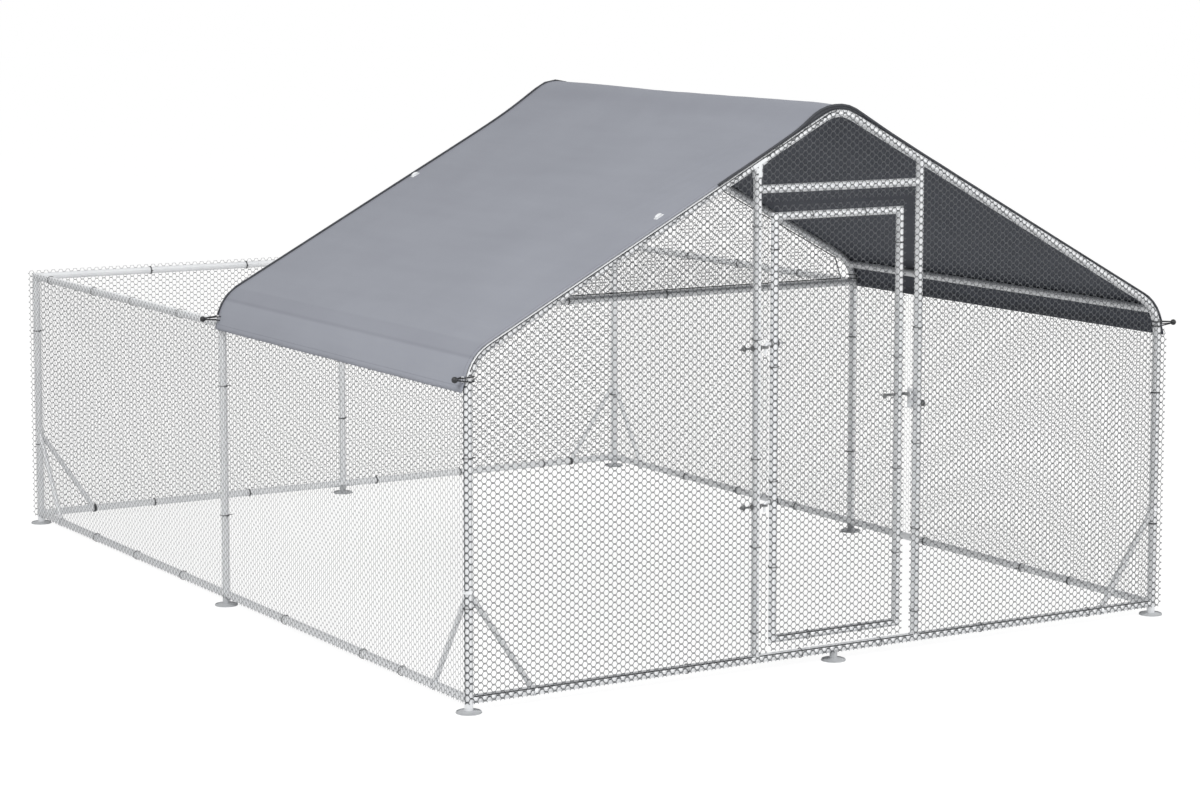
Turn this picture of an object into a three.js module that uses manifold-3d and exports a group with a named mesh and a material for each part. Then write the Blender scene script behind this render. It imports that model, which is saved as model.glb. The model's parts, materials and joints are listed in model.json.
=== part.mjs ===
// Walk-in poultry pen of galvanised tube, with a pitched cover over its front half.
// Millimetres. X runs along the front, Y from the front to the back and Z up.
// The origin is on the ground, in the middle of the plan.

import * as THREE from 'three';
import { mergeGeometries, mergeVertices } from 'three/addons/utils/BufferGeometryUtils.js';
import Module from 'manifold-3d';

const wasm = await Module();
wasm.setup();

// Driving dimensions, between the centre lines of the tubes

const PEN_WIDTH = 2970;
const PEN_LENGTH = 3980;
const ROOFED_LENGTH = 1975;
const RAIL_HEIGHT = 1100; // top rails of the low pen, and the tie bar
const EAVE_RISE = 84; // from the rail to where a post and its rafter would meet
const ROOF_RISE = 794; // from there to where the two rafters would meet
const SILL_HEIGHT = 45;

// Tube stock

const TUBE_R = 15;
const TUBE_WALL = 1.2;
const LEAF_TUBE_R = 14;
const LEAF_TUBE_WALL = 1.2;
const BRACE_R = 10;
const BRACE_WALL = 1;
const TUBE_SIDES = 12;
const ROD_SIDES = 8;
const HEX_SIDES = 6;
const CORD_SIDES = 6;
const RING_STEPS = 10;
const BALL_SEGMENTS = 10;
const BALL_RINGS = 6;

// Bends and joints of the frame

const ELBOW_BEND_R = 150;
const APEX_BEND_R = 125;
const BEND_STEPS = 4;
const ELBOW_LEG = 55; // straight tube under the eave bend
const SWAGE_LENGTH = 40; // narrowed end that slips into the next tube
const SWAGE_TAPER = 8;
const EAVE_TUBE_ANGLE = 35; // degrees up the eave bend from its level
const RAFTER_SPLICE = 60; // straight tube between the apex bend and the splice
const SEAT_GAP = 0.3;
const OVERRUN = 20; // how far a cut runs past what it cuts
const WELD = 1e-4; // corners nearer than this are one

// Doorway and door leaf

const LEFT_JAMB_X = -340;
const RIGHT_JAMB_X = 358;
const LINTEL_DROP = 81.6; // below the rafter, at the latch side's post
const HINGE_SIDE_GAP = 45;
const LATCH_SIDE_GAP = 58;
const HEAD_GAP = 68;
const FLOOR_GAP = 35;
const LOWER_HINGE_HEIGHT = 590;
const UPPER_HINGE_HEIGHT = 1150;
const TEE_WALL = 3.5; // fitting that joins the left jamb to its rafter
const TEE_LENGTH = 62;
const TEE_DROP = 34;
const TEE_RISE = 8; // above the rafter's centre line

// Hinge hardware

const HINGE_PIN_R = 4;
const PIN_CLEARANCE = 0.4;
const EYE_ROD_R = 4;
const PIN_BEND_R = 8;
const PIN_DROP = 22;
const PIN_COLLAR_R = 9;
const PIN_COLLAR_HEIGHT = 2;
const PIN_TAIL = 27;
const EYE_TAIL = 50;
const NUT_R = 7.5;
const NUT_LENGTH = 6.5;

// Sliding bolt and its keeper

const LATCH_HEIGHT = 943;
const BOLT_R = 5;
const BOLT_INSIDE = 46; // bolt left of the stile, in the leaf
const BOLT_TIP_GAP = 3; // from the drawn bolt to the keeper plate
const BOLT_STOP_R = 8;
const BOLT_STOP_LENGTH = 5;
const HANDLE_R = 4;
const HANDLE_OFFSET = 10; // from the stile's surface
const HANDLE_LENGTH = 34;
const KNOB_R = 7;
const KEEPER_THICKNESS = 4;
const KEEPER_WIDTH = 28;
const KEEPER_ABOVE = 18;
const KEEPER_BELOW = 54;
const KEEPER_STANDOFF = 14; // from the post's surface to the plate
const KEEPER_SLOT_GAP = 0.8; // round the shot bolt
const KEEPER_BOLT_DROP = 40;
const KEEPER_BOLT_R = 4;
const KEEPER_BOLT_TAIL = 20;

// Corner braces

const BRACE_HEIGHT = 410;
const BRACE_REACH = 250;

// Feet

const FOOT_R = 45;
const FOOT_RIM = 3;
const FOOT_CROWN = 8;
const FOOT_PLUG_LENGTH = 26;
const FOOT_STEM_R = 14;
const FOOT_SEGMENTS = 12;

// Netting, in a coarse pattern of the real hexagons

const NET_THICKNESS = 2;
const NET_WIRE = 6;
const NET_LAP = 5; // past the centre line of the tube that carries the edge
const NET_EDGE_GAP = 1;
const NET_CELL_WIDTH = 552;
const NET_CELL_HEIGHT = 400;
const CELL_TOP_SHARE = 0.145; // half of the twisted side, as a share of the cell's width
const CELL_POINT_SHARE = 0.355;
const SMALLEST_GAP_SHARE = 0.01;
const DOOR_CELL_WIDTH = 236;
const DOOR_CELL_HEIGHT = 172;
const GABLE_NET_INSET = 45;

// Cover

const COVER_THICKNESS = 1.2;
const COVER_LAP = 10; // past the gable's centre line
const HEM_DROP = 20; // below the rail
const HEM_FLARE = 7;
const HEM_WAVE = 3;
const HEM_WAVES = 4;
const COVER_SAG = 12;
const COVER_STATIONS = 10;
const SLOPE_STEPS = 5;
const COVER_BEND_STEPS = 4;
const COVER_TURN_RISE = 5; // from the side net's top edge to where the cover turns in

// Elastic ties at the cover's corners

const TIE_RISE = 24; // above the rail
const TIE_CORD_R = 2.5;
const TIE_REACH = 84;
const TIE_BALL_R = 11;
const TIE_ARC_STEPS = 6;

// Places that follow from the sizes

const HALF_WIDTH = PEN_WIDTH / 2;
const FRONT_Y = -PEN_LENGTH / 2;
const BACK_Y = PEN_LENGTH / 2;
const MIDDLE_Y = FRONT_Y + ROOFED_LENGTH;
const EAVE_HEIGHT = RAIL_HEIGHT + EAVE_RISE;
const RIDGE_HEIGHT = EAVE_HEIGHT + ROOF_RISE;
const HEM_HEIGHT = RAIL_HEIGHT - HEM_DROP;
const TIE_HEIGHT = RAIL_HEIGHT + TIE_RISE;
const SLOPE = Math.atan2(ROOF_RISE, HALF_WIDTH);
const ELBOW_TURN = Math.PI / 2 - SLOPE;
const ELBOW_TANGENT = ELBOW_BEND_R * Math.tan(ELBOW_TURN / 2);
const APEX_TANGENT = APEX_BEND_R * Math.tan(SLOPE);
const ELBOW_FOOT = EAVE_HEIGHT - ELBOW_TANGENT;
const POST_TOP = ELBOW_FOOT - ELBOW_LEG;
const APEX_HEIGHT = RIDGE_HEIGHT - APEX_BEND_R * (1 / Math.cos(SLOPE) - 1);
const EAVE_ANGLE = THREE.MathUtils.degToRad(EAVE_TUBE_ANGLE);
const EAVE_TUBE_X = HALF_WIDTH - ELBOW_BEND_R * (1 - Math.cos(EAVE_ANGLE));
const EAVE_TUBE_Z = ELBOW_FOOT + ELBOW_BEND_R * Math.sin(EAVE_ANGLE);

const LINTEL_HEIGHT = rafterHeight(RIGHT_JAMB_X) - LINTEL_DROP;
const LEFT_STILE_X = LEFT_JAMB_X + TUBE_R + HINGE_SIDE_GAP + LEAF_TUBE_R;
const RIGHT_STILE_X = RIGHT_JAMB_X - TUBE_R - LATCH_SIDE_GAP - LEAF_TUBE_R;
const LEAF_TOP = LINTEL_HEIGHT - TUBE_R - HEAD_GAP - LEAF_TUBE_R;
const LEAF_BOTTOM = SILL_HEIGHT + TUBE_R + FLOOR_GAP + LEAF_TUBE_R;
const HINGE_X = LEFT_JAMB_X + TUBE_R + HINGE_SIDE_GAP / 2;
const EYE_RING_R = HINGE_PIN_R + PIN_CLEARANCE + EYE_ROD_R;

const LEFT = -1;
const RIGHT = 1;
const X_AXIS = new THREE.Vector3(1, 0, 0);
const Y_AXIS = new THREE.Vector3(0, 1, 0);
const Z_AXIS = new THREE.Vector3(0, 0, 1);

function at(x, y, z) {
  return new THREE.Vector3(x, y, z);
}

// The height of a rafter's centre line above a place on the front
function rafterHeight(x) {
  return RIDGE_HEIGHT - Math.abs(x) * Math.tan(SLOPE);
}

// Solids: geometry to a closed solid and back

function solidOf(geometry) {
  const bare = geometry.clone();
  bare.deleteAttribute('normal');
  bare.deleteAttribute('uv');
  const merged = mergeVertices(bare, WELD);
  return new wasm.Manifold(new wasm.Mesh({
    numProp: 3,
    vertProperties: new Float32Array(merged.attributes.position.array),
    triVerts: new Uint32Array(merged.index.array),
  }));
}

function geometryOf(solid) {
  const mesh = solid.getMesh();
  const geometry = new THREE.BufferGeometry();
  geometry.setAttribute('position', new THREE.BufferAttribute(mesh.vertProperties, 3));
  geometry.setIndex(new THREE.BufferAttribute(mesh.triVerts, 1));
  geometry.computeVertexNormals();
  return geometry;
}

function cut(solid, cutters) {
  return cutters.reduce((left, cutter) => left.subtract(cutter), solid);
}

function join(solids) {
  return solids.reduce((whole, part) => whole.add(part));
}

// Routes: stations on a centre line, each a point and the direction there

function straightRoute(from, to) {
  const along = to.clone().sub(from).normalize();
  return [{ at: from, along }, { at: to, along }];
}

// A route through corner points, with an arc of the given radius at each inner one
function bentRoute(corners, bendRs) {
  const first = corners[1].clone().sub(corners[0]).normalize();
  const route = [{ at: corners[0], along: first }];
  for (let k = 1; k < corners.length - 1; k += 1) {
    const before = corners[k].clone().sub(corners[k - 1]).normalize();
    const after = corners[k + 1].clone().sub(corners[k]).normalize();
    const turn = before.angleTo(after);
    const inward = after.clone().addScaledVector(before, -before.dot(after)).normalize();
    const bendR = bendRs[k - 1];
    const start = corners[k].clone().addScaledVector(before, -bendR * Math.tan(turn / 2));
    const centre = start.clone().addScaledVector(inward, bendR);
    for (let step = 0; step <= BEND_STEPS; step += 1) {
      const angle = turn * step / BEND_STEPS;
      const point = centre.clone().addScaledVector(inward, -bendR * Math.cos(angle));
      point.addScaledVector(before, bendR * Math.sin(angle));
      const along = before.clone().multiplyScalar(Math.cos(angle));
      along.addScaledVector(inward, Math.sin(angle));
      route.push({ at: point, along });
    }
  }
  const last = corners[corners.length - 1];
  const end = last.clone().sub(corners[corners.length - 2]).normalize();
  route.push({ at: last, along: end });
  return route;
}

// Skins: rings of points joined one to the next, or a single point at a closed end

function skin(rings, closed) {
  const positions = [];
  const starts = [];
  for (const ring of rings) {
    starts.push(positions.length / 3);
    for (const point of ring) {
      positions.push(point.x, point.y, point.z);
    }
  }
  const index = [];
  const last = closed ? rings.length : rings.length - 1;
  for (let k = 0; k < last; k += 1) {
    const next = (k + 1) % rings.length;
    const sides = Math.max(rings[k].length, rings[next].length);
    for (let j = 0; j < sides; j += 1) {
      const near = (i) => starts[k] + (i % rings[k].length);
      const far = (i) => starts[next] + (i % rings[next].length);
      if (rings[k].length > 1) {
        index.push(near(j), near(j + 1), far(j + 1));
      }
      if (rings[next].length > 1) {
        index.push(near(j), far(j + 1), far(j));
      }
    }
  }
  const geometry = new THREE.BufferGeometry();
  geometry.setAttribute('position', new THREE.Float32BufferAttribute(positions, 3));
  geometry.setIndex(index);
  return geometry;
}

// A ring round a station; across is square to the route's directions
function ringAt(station, across, r, sides) {
  const over = station.along.clone().cross(across);
  const ring = [];
  for (let j = 0; j < sides; j += 1) {
    const angle = 2 * Math.PI * (j + 1 / 2) / sides;
    const point = station.at.clone().addScaledVector(across, r * Math.cos(angle));
    ring.push(point.addScaledVector(over, r * Math.sin(angle)));
  }
  return ring;
}

function rod(route, across, r, sides = TUBE_SIDES) {
  const rings = route.map((station) => ringAt(station, across, r, sides));
  return solidOf(skin([[route[0].at], ...rings, [route[route.length - 1].at]], false));
}

// A hollow tube. A swaged end narrows to slip into the bore of the next tube.
function tube(route, across, { r = TUBE_R, wall = TUBE_WALL, swaged = false } = {}) {
  const bore = r - wall;
  const stations = route.map((station) => ({ ...station, outer: r, inner: bore }));
  if (swaged) {
    const end = stations[stations.length - 1];
    const outer = bore - SEAT_GAP;
    const mouth = end.at.clone();
    const place = (beyond) => mouth.clone().addScaledVector(end.along, beyond);
    end.at = place(-SWAGE_TAPER - SEAT_GAP);
    for (const beyond of [-SEAT_GAP, SWAGE_LENGTH]) {
      stations.push({ at: place(beyond), along: end.along, outer, inner: outer - wall });
    }
  }
  const outside = stations.map((one) => ringAt(one, across, one.outer, TUBE_SIDES));
  const inside = stations.map((one) => ringAt(one, across, one.inner, TUBE_SIDES));
  return solidOf(skin([...outside, ...inside.reverse()], true));
}

// A ring of rod round an axis that is parallel to Z
function eyeRing(centre, ringR, rodR) {
  const rings = [];
  for (let step = 0; step < RING_STEPS; step += 1) {
    const angle = 2 * Math.PI * step / RING_STEPS;
    const out = at(Math.cos(angle), Math.sin(angle), 0);
    const station = { at: centre.clone().addScaledVector(out, ringR), along: out.clone().cross(Z_AXIS) };
    rings.push(ringAt(station, out, rodR, CORD_SIDES));
  }
  return solidOf(skin(rings.reverse(), true));
}

function turned(profile, segments) {
  const points = profile.map(([r, z]) => new THREE.Vector2(r, z));
  const geometry = new THREE.LatheGeometry(points, segments);
  geometry.rotateX(Math.PI / 2);
  return solidOf(geometry);
}

function block(low, high) {
  const size = high.clone().sub(low);
  const middle = low.clone().add(high).multiplyScalar(1 / 2);
  const geometry = new THREE.BoxGeometry(size.x, size.y, size.z);
  geometry.translate(middle.x, middle.y, middle.z);
  return solidOf(geometry);
}

// A hexagonal nut or a plain length of rod, along X
function rodAlongX(fromX, toX, y, z, r, sides = ROD_SIDES) {
  return rod(straightRoute(at(fromX, y, z), at(toX, y, z)), Y_AXIS, r, sides);
}

// Materials, one for each piece

function galvanised() {
  return new THREE.MeshStandardMaterial({ color: 0xdfe1e3, roughness: 0.42, metalness: 0.8 });
}

function netting() {
  return new THREE.MeshStandardMaterial({ color: 0x8f9398, roughness: 0.45, metalness: 0.8 });
}

function coverCloth() {
  return new THREE.MeshStandardMaterial({ color: 0x9da0a9, roughness: 0.75, metalness: 0 });
}

function whitePlastic() {
  return new THREE.MeshStandardMaterial({ color: 0xe6e8ea, roughness: 0.6, metalness: 0 });
}

function zincPlated() {
  return new THREE.MeshStandardMaterial({ color: 0x8a8d90, roughness: 0.4, metalness: 0.9 });
}

function blackElastic() {
  return new THREE.MeshStandardMaterial({ color: 0x17181a, roughness: 0.7, metalness: 0 });
}

const pen = new THREE.Group();

function addPiece(name, solid, material, parent = pen) {
  const mesh = new THREE.Mesh(geometryOf(solid), material);
  mesh.name = name;
  parent.add(mesh);
  return mesh;
}

// Frame tubes: the route of each, and the tubes that its ends are fitted to

const POST_FOOT = FOOT_CROWN;
const SPLICE_X = (APEX_TANGENT + RAFTER_SPLICE) * Math.cos(SLOPE);

function uprightRoute(x, y, bottom, top) {
  return straightRoute(at(x, y, bottom), at(x, y, top));
}

function rafterRoute(side, y) {
  const leg = at(side * HALF_WIDTH, y, POST_TOP);
  const eave = at(side * HALF_WIDTH, y, EAVE_HEIGHT);
  const splice = at(SPLICE_X, y, rafterHeight(SPLICE_X));
  if (side === LEFT) {
    const ridge = at(0, y, RIDGE_HEIGHT);
    return bentRoute([leg, eave, ridge, splice], [ELBOW_BEND_R, APEX_BEND_R]);
  }
  return bentRoute([leg, eave, splice], [ELBOW_BEND_R]);
}

const frameTubes = {
  front_left_post: {
    route: uprightRoute(-HALF_WIDTH, FRONT_Y, POST_FOOT, POST_TOP), swaged: true,
  },
  front_right_post: {
    route: uprightRoute(HALF_WIDTH, FRONT_Y, POST_FOOT, POST_TOP), swaged: true,
  },
  front_left_rafter: { route: rafterRoute(LEFT, FRONT_Y), swaged: true },
  front_right_rafter: { route: rafterRoute(RIGHT, FRONT_Y) },
  front_sill: {
    route: straightRoute(at(-HALF_WIDTH, FRONT_Y, SILL_HEIGHT), at(HALF_WIDTH, FRONT_Y, SILL_HEIGHT)),
    meets: ['front_left_post', 'front_right_post'],
  },
  left_jamb_post: {
    route: uprightRoute(LEFT_JAMB_X, FRONT_Y, SILL_HEIGHT, rafterHeight(LEFT_JAMB_X)),
    meets: ['front_sill', 'front_left_rafter'],
  },
  right_jamb_post: {
    route: uprightRoute(RIGHT_JAMB_X, FRONT_Y, SILL_HEIGHT, rafterHeight(RIGHT_JAMB_X)),
    meets: ['front_sill', 'front_right_rafter'],
  },
  lintel: {
    route: straightRoute(
      at(LEFT_JAMB_X, FRONT_Y, LINTEL_HEIGHT),
      at(RIGHT_JAMB_X, FRONT_Y, LINTEL_HEIGHT),
    ),
    meets: ['left_jamb_post', 'right_jamb_post'],
  },
  middle_left_rafter: { route: rafterRoute(LEFT, MIDDLE_Y), swaged: true },
  middle_right_rafter: { route: rafterRoute(RIGHT, MIDDLE_Y) },
  tie_bar: {
    route: straightRoute(at(-HALF_WIDTH, MIDDLE_Y, RAIL_HEIGHT), at(HALF_WIDTH, MIDDLE_Y, RAIL_HEIGHT)),
    meets: ['middle_left_rafter', 'middle_right_rafter'],
  },
  ridge_tube: {
    route: straightRoute(at(0, FRONT_Y, APEX_HEIGHT), at(0, MIDDLE_Y, APEX_HEIGHT)),
    meets: ['front_left_rafter', 'middle_left_rafter'],
  },
  back_left_post: {
    route: uprightRoute(-HALF_WIDTH, BACK_Y, POST_FOOT, RAIL_HEIGHT + TUBE_R), capped: true,
  },
  back_right_post: {
    route: uprightRoute(HALF_WIDTH, BACK_Y, POST_FOOT, RAIL_HEIGHT + TUBE_R), capped: true,
  },
  back_sill: {
    route: straightRoute(at(-HALF_WIDTH, BACK_Y, SILL_HEIGHT), at(HALF_WIDTH, BACK_Y, SILL_HEIGHT)),
    meets: ['back_left_post', 'back_right_post'],
  },
  back_top_rail: {
    route: straightRoute(at(-HALF_WIDTH, BACK_Y, RAIL_HEIGHT), at(HALF_WIDTH, BACK_Y, RAIL_HEIGHT)),
    meets: ['back_left_post', 'back_right_post'],
  },
  back_middle_post: {
    route: uprightRoute(0, BACK_Y, SILL_HEIGHT, RAIL_HEIGHT),
    meets: ['back_sill', 'back_top_rail'],
  },
};

for (const [word, side] of [['left', LEFT], ['right', RIGHT]]) {
  const x = side * HALF_WIDTH;
  const eaveX = side * EAVE_TUBE_X;
  frameTubes[`${word}_sill`] = {
    route: straightRoute(at(x, FRONT_Y, SILL_HEIGHT), at(x, BACK_Y, SILL_HEIGHT)),
    meets: [`front_${word}_post`, `back_${word}_post`, 'front_sill', 'back_sill'],
  };
  frameTubes[`middle_${word}_post`] = {
    route: uprightRoute(x, MIDDLE_Y, SILL_HEIGHT, POST_TOP),
    swaged: true,
    meets: [`${word}_sill`],
  };
  frameTubes[`${word}_eave_tube`] = {
    route: straightRoute(at(eaveX, FRONT_Y, EAVE_TUBE_Z), at(eaveX, MIDDLE_Y, EAVE_TUBE_Z)),
    meets: [`front_${word}_rafter`, `middle_${word}_rafter`],
  };
  frameTubes[`${word}_top_rail`] = {
    route: straightRoute(at(x, MIDDLE_Y, RAIL_HEIGHT), at(x, BACK_Y, RAIL_HEIGHT)),
    meets: [`middle_${word}_rafter`, `back_${word}_post`, 'tie_bar', 'back_top_rail'],
  };
}

// Tubes that lie along Y turn about X, and all others about Y
function acrossOf(route) {
  const alongY = Math.abs(route[0].along.y) > 1 / 2;
  return alongY ? X_AXIS : Y_AXIS;
}

function outsideOf(name) {
  const { route } = frameTubes[name];
  return rod(route, acrossOf(route), TUBE_R + SEAT_GAP);
}

// The disc that closes the top of a pen corner post
function postCap(route) {
  const top = route[route.length - 1];
  const under = { at: top.at.clone().addScaledVector(top.along, -TUBE_WALL), along: top.along };
  return rod([under, top], acrossOf(route), TUBE_R);
}

const frameSolids = {};
for (const [name, { route, meets = [], swaged, capped }] of Object.entries(frameTubes)) {
  const whole = tube(route, acrossOf(route), { swaged });
  const closed = capped ? join([whole, postCap(route)]) : whole;
  frameSolids[name] = cut(closed, meets.map(outsideOf));
}

// Holes across a jamb post for the hinges' eye bolts and the keeper's bolt

function acrossPost(postX, height, r) {
  return rodAlongX(postX - TUBE_R - OVERRUN, postX + TUBE_R + OVERRUN, FRONT_Y, height, r);
}

const keeperBoltZ = LATCH_HEIGHT - KEEPER_BOLT_DROP;
frameSolids.left_jamb_post = cut(frameSolids.left_jamb_post, [
  acrossPost(LEFT_JAMB_X, LOWER_HINGE_HEIGHT, EYE_ROD_R + SEAT_GAP),
  acrossPost(LEFT_JAMB_X, UPPER_HINGE_HEIGHT, EYE_ROD_R + SEAT_GAP),
]);
frameSolids.right_jamb_post = cut(frameSolids.right_jamb_post, [
  acrossPost(RIGHT_JAMB_X, keeperBoltZ, KEEPER_BOLT_R + SEAT_GAP),
]);

for (const [name, solid] of Object.entries(frameSolids)) {
  addPiece(name, solid, galvanised());
}

// The tee grips the rafter and the top of the left jamb post

// The half sleeve under the rafter, open towards the cover
function teeSaddle(wall) {
  const sleeveR = TUBE_R + SEAT_GAP + wall;
  const half = at(TEE_LENGTH / 2, 0, 0);
  const sleeve = rod(straightRoute(half.clone().negate(), half), Y_AXIS, sleeveR);
  const above = block(
    at(-TEE_LENGTH, -sleeveR - OVERRUN, TEE_RISE),
    at(TEE_LENGTH, sleeveR + OVERRUN, sleeveR + OVERRUN),
  );
  const tilt = -THREE.MathUtils.radToDeg(SLOPE);
  const place = [LEFT_JAMB_X, FRONT_Y, rafterHeight(LEFT_JAMB_X)];
  return sleeve.subtract(above).rotate([0, tilt, 0]).translate(place);
}

function teeCollar(wall) {
  const top = rafterHeight(LEFT_JAMB_X);
  const bottom = top - TUBE_R - TEE_DROP;
  return rod(uprightRoute(LEFT_JAMB_X, FRONT_Y, bottom, top), Y_AXIS, TUBE_R + SEAT_GAP + wall);
}

addPiece('rafter_tee', cut(
  join([teeSaddle(TEE_WALL), teeCollar(TEE_WALL)]),
  [outsideOf('front_left_rafter'), outsideOf('left_jamb_post')],
), whitePlastic());

// The latch's keeper: a slotted plate, held off the right jamb post by a bolt through it

const postLeft = RIGHT_JAMB_X - TUBE_R;
const postRight = RIGHT_JAMB_X + TUBE_R;
const keeperX = postLeft - KEEPER_STANDOFF - KEEPER_THICKNESS;
const slotHalf = BOLT_R + KEEPER_SLOT_GAP;
const keeperPlate = block(
  at(keeperX, FRONT_Y - KEEPER_WIDTH / 2, LATCH_HEIGHT - KEEPER_BELOW),
  at(keeperX + KEEPER_THICKNESS, FRONT_Y + KEEPER_WIDTH / 2, LATCH_HEIGHT + KEEPER_ABOVE),
);
const keeperSlot = block(
  at(keeperX - OVERRUN, FRONT_Y - slotHalf, LATCH_HEIGHT - slotHalf),
  at(postLeft, FRONT_Y + slotHalf, LATCH_HEIGHT + slotHalf),
);

function keeperRod(fromX, toX, r, sides) {
  return rodAlongX(fromX, toX, FRONT_Y, keeperBoltZ, r, sides);
}

addPiece('latch_keeper', join([
  cut(keeperPlate, [keeperSlot]),
  keeperRod(keeperX - NUT_LENGTH, keeperX + KEEPER_THICKNESS / 2, NUT_R, HEX_SIDES),
  keeperRod(keeperX + KEEPER_THICKNESS / 2, postLeft - SEAT_GAP, NUT_R, HEX_SIDES),
  keeperRod(keeperX, postRight + KEEPER_BOLT_TAIL, KEEPER_BOLT_R, ROD_SIDES),
  keeperRod(postRight + SEAT_GAP, postRight + SEAT_GAP + NUT_LENGTH, NUT_R, HEX_SIDES),
]), zincPlated());

// Corner braces, in the plane of each wall, from the post down to the sill

const braceRoute = straightRoute(at(0, 0, BRACE_HEIGHT), at(BRACE_REACH, 0, SILL_HEIGHT));
const braceSolid = cut(
  tube(braceRoute, Y_AXIS, { r: BRACE_R, wall: BRACE_WALL }),
  [
    rod(uprightRoute(0, 0, 0, BRACE_HEIGHT + TUBE_R + OVERRUN), Y_AXIS, TUBE_R + SEAT_GAP),
    rod(
      straightRoute(at(0, 0, SILL_HEIGHT), at(BRACE_REACH + TUBE_R + OVERRUN, 0, SILL_HEIGHT)),
      Y_AXIS,
      TUBE_R + SEAT_GAP,
    ),
  ],
);

const QUARTER_TURN = Math.PI / 2;
const RIGHT_ANGLE = 90; // degrees
const corners = [
  ['front_left', -HALF_WIDTH, FRONT_Y, 0, 1],
  ['front_right', HALF_WIDTH, FRONT_Y, 2, 1],
  ['back_left', -HALF_WIDTH, BACK_Y, 0, 3],
  ['back_right', HALF_WIDTH, BACK_Y, 2, 3],
];
for (const [corner, x, y, endTurns, sideTurns] of corners) {
  for (const [wall, turns] of [['end', endTurns], ['side', sideTurns]]) {
    const brace = addPiece(`${corner}_${wall}_brace`, braceSolid, galvanised());
    brace.position.set(x, y, 0);
    brace.rotation.z = turns * QUARTER_TURN;
  }
}

// Feet: a plug foot under each corner post, a saddle foot under each sill's middle

const footDisc = [
  [0, 0],
  [FOOT_R, 0],
  [FOOT_R, FOOT_RIM],
  [TUBE_R, FOOT_CROWN - SEAT_GAP],
];
const plugR = (TUBE_R - TUBE_WALL) * Math.cos(Math.PI / TUBE_SIDES) - SEAT_GAP;
const plugFoot = turned([
  ...footDisc,
  [plugR, FOOT_CROWN - SEAT_GAP],
  [plugR, FOOT_CROWN + FOOT_PLUG_LENGTH],
  [0, FOOT_CROWN + FOOT_PLUG_LENGTH],
], FOOT_SEGMENTS);
const saddleFoot = cut(
  turned([
    ...footDisc,
    [FOOT_STEM_R, FOOT_CROWN],
    [FOOT_STEM_R, SILL_HEIGHT],
    [0, SILL_HEIGHT],
  ], FOOT_SEGMENTS),
  [rod(
    straightRoute(at(-TUBE_R - OVERRUN, 0, SILL_HEIGHT), at(TUBE_R + OVERRUN, 0, SILL_HEIGHT)),
    Y_AXIS,
    TUBE_R + SEAT_GAP,
  )],
);
for (const [corner, x, y] of corners) {
  addPiece(`${corner}_foot`, plugFoot, whitePlastic()).position.set(x, y, 0);
}
addPiece('front_middle_foot', saddleFoot, whitePlastic()).position.set(0, FRONT_Y, 0);
addPiece('back_middle_foot', saddleFoot, whitePlastic()).position.set(0, BACK_Y, 0);
for (const [word, side] of [['left', LEFT], ['right', RIGHT]]) {
  const foot = addPiece(`middle_${word}_foot`, saddleFoot, whitePlastic());
  foot.position.set(side * HALF_WIDTH, MIDDLE_Y, 0);
  foot.rotation.z = QUARTER_TURN;
}

// Netting: a panel's outline is convex, and each hexagon is trimmed to it

function insideOf(outline, border) {
  const edges = outline.map((from, k) => {
    const to = outline[(k + 1) % outline.length];
    const along = to.clone().sub(from).normalize();
    const inward = new THREE.Vector2(-along.y, along.x);
    return { from: from.clone().addScaledVector(inward, border), inward };
  });
  return (polygon) => edges.reduce((kept, { from, inward }) => {
    const depth = (point) => point.clone().sub(from).dot(inward);
    return kept.flatMap((point, k) => {
      const next = kept[(k + 1) % kept.length];
      const here = depth(point);
      const there = depth(next);
      const crossing = here * there < 0 ? [point.clone().lerp(next, here / (here - there))] : [];
      return here >= 0 ? [point, ...crossing] : crossing;
    });
  }, polygon);
}

function hexagon(centre, cell) {
  const inset = NET_WIRE / 2;
  const half = cell.height / 2 - inset;
  const top = cell.width * CELL_TOP_SHARE - inset / 2;
  const point = cell.width * CELL_POINT_SHARE - inset;
  const shape = [[point, 0], [top, half], [-top, half], [-point, 0], [-top, -half], [top, -half]];
  return shape.map(([u, v]) => new THREE.Vector2(centre.x + u, centre.y + v));
}

// A flat plate in the plane of X and Y of its own frame, from low to high along Z
function plate(outline, low, high) {
  const geometry = new THREE.ExtrudeGeometry(new THREE.Shape(outline), {
    depth: high - low,
    bevelEnabled: false,
  });
  return geometry.translate(0, 0, low);
}

const wallCell = { width: NET_CELL_WIDTH, height: NET_CELL_HEIGHT };
const doorCell = { width: DOOR_CELL_WIDTH, height: DOOR_CELL_HEIGHT };

// A flat net: a plate with a hexagonal gap at every cell that the outline leaves room for
function netPanel(corners2d, cell = wallCell, border = NET_WIRE) {
  const outline = corners2d.map(([u, v]) => new THREE.Vector2(u, v));
  const trim = insideOf(outline, border);
  const box = new THREE.Box2().setFromPoints(outline);
  const middle = box.getCenter(new THREE.Vector2());
  const reach = box.getSize(new THREE.Vector2()).multiplyScalar(1 / 2);
  const columnPitch = cell.width / 2;
  const columns = Math.ceil(reach.x / columnPitch);
  const rows = Math.ceil(reach.y / cell.height);
  const smallest = cell.width * cell.height * SMALLEST_GAP_SHARE;
  const gaps = [];
  for (let column = -columns; column <= columns; column += 1) {
    for (let row = -rows; row <= rows; row += 1) {
      const shift = column % 2 === 0 ? 0 : 1 / 2;
      const centre = new THREE.Vector2(column * columnPitch, (row + shift) * cell.height);
      const gap = trim(hexagon(centre.add(middle), cell));
      if (gap.length > 2 && Math.abs(THREE.ShapeUtils.area(gap)) > smallest) {
        gaps.push(plate(gap, -OVERRUN, NET_THICKNESS + OVERRUN));
      }
    }
  }
  return solidOf(plate(outline, 0, NET_THICKNESS)).subtract(solidOf(mergeGeometries(gaps)));
}

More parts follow.
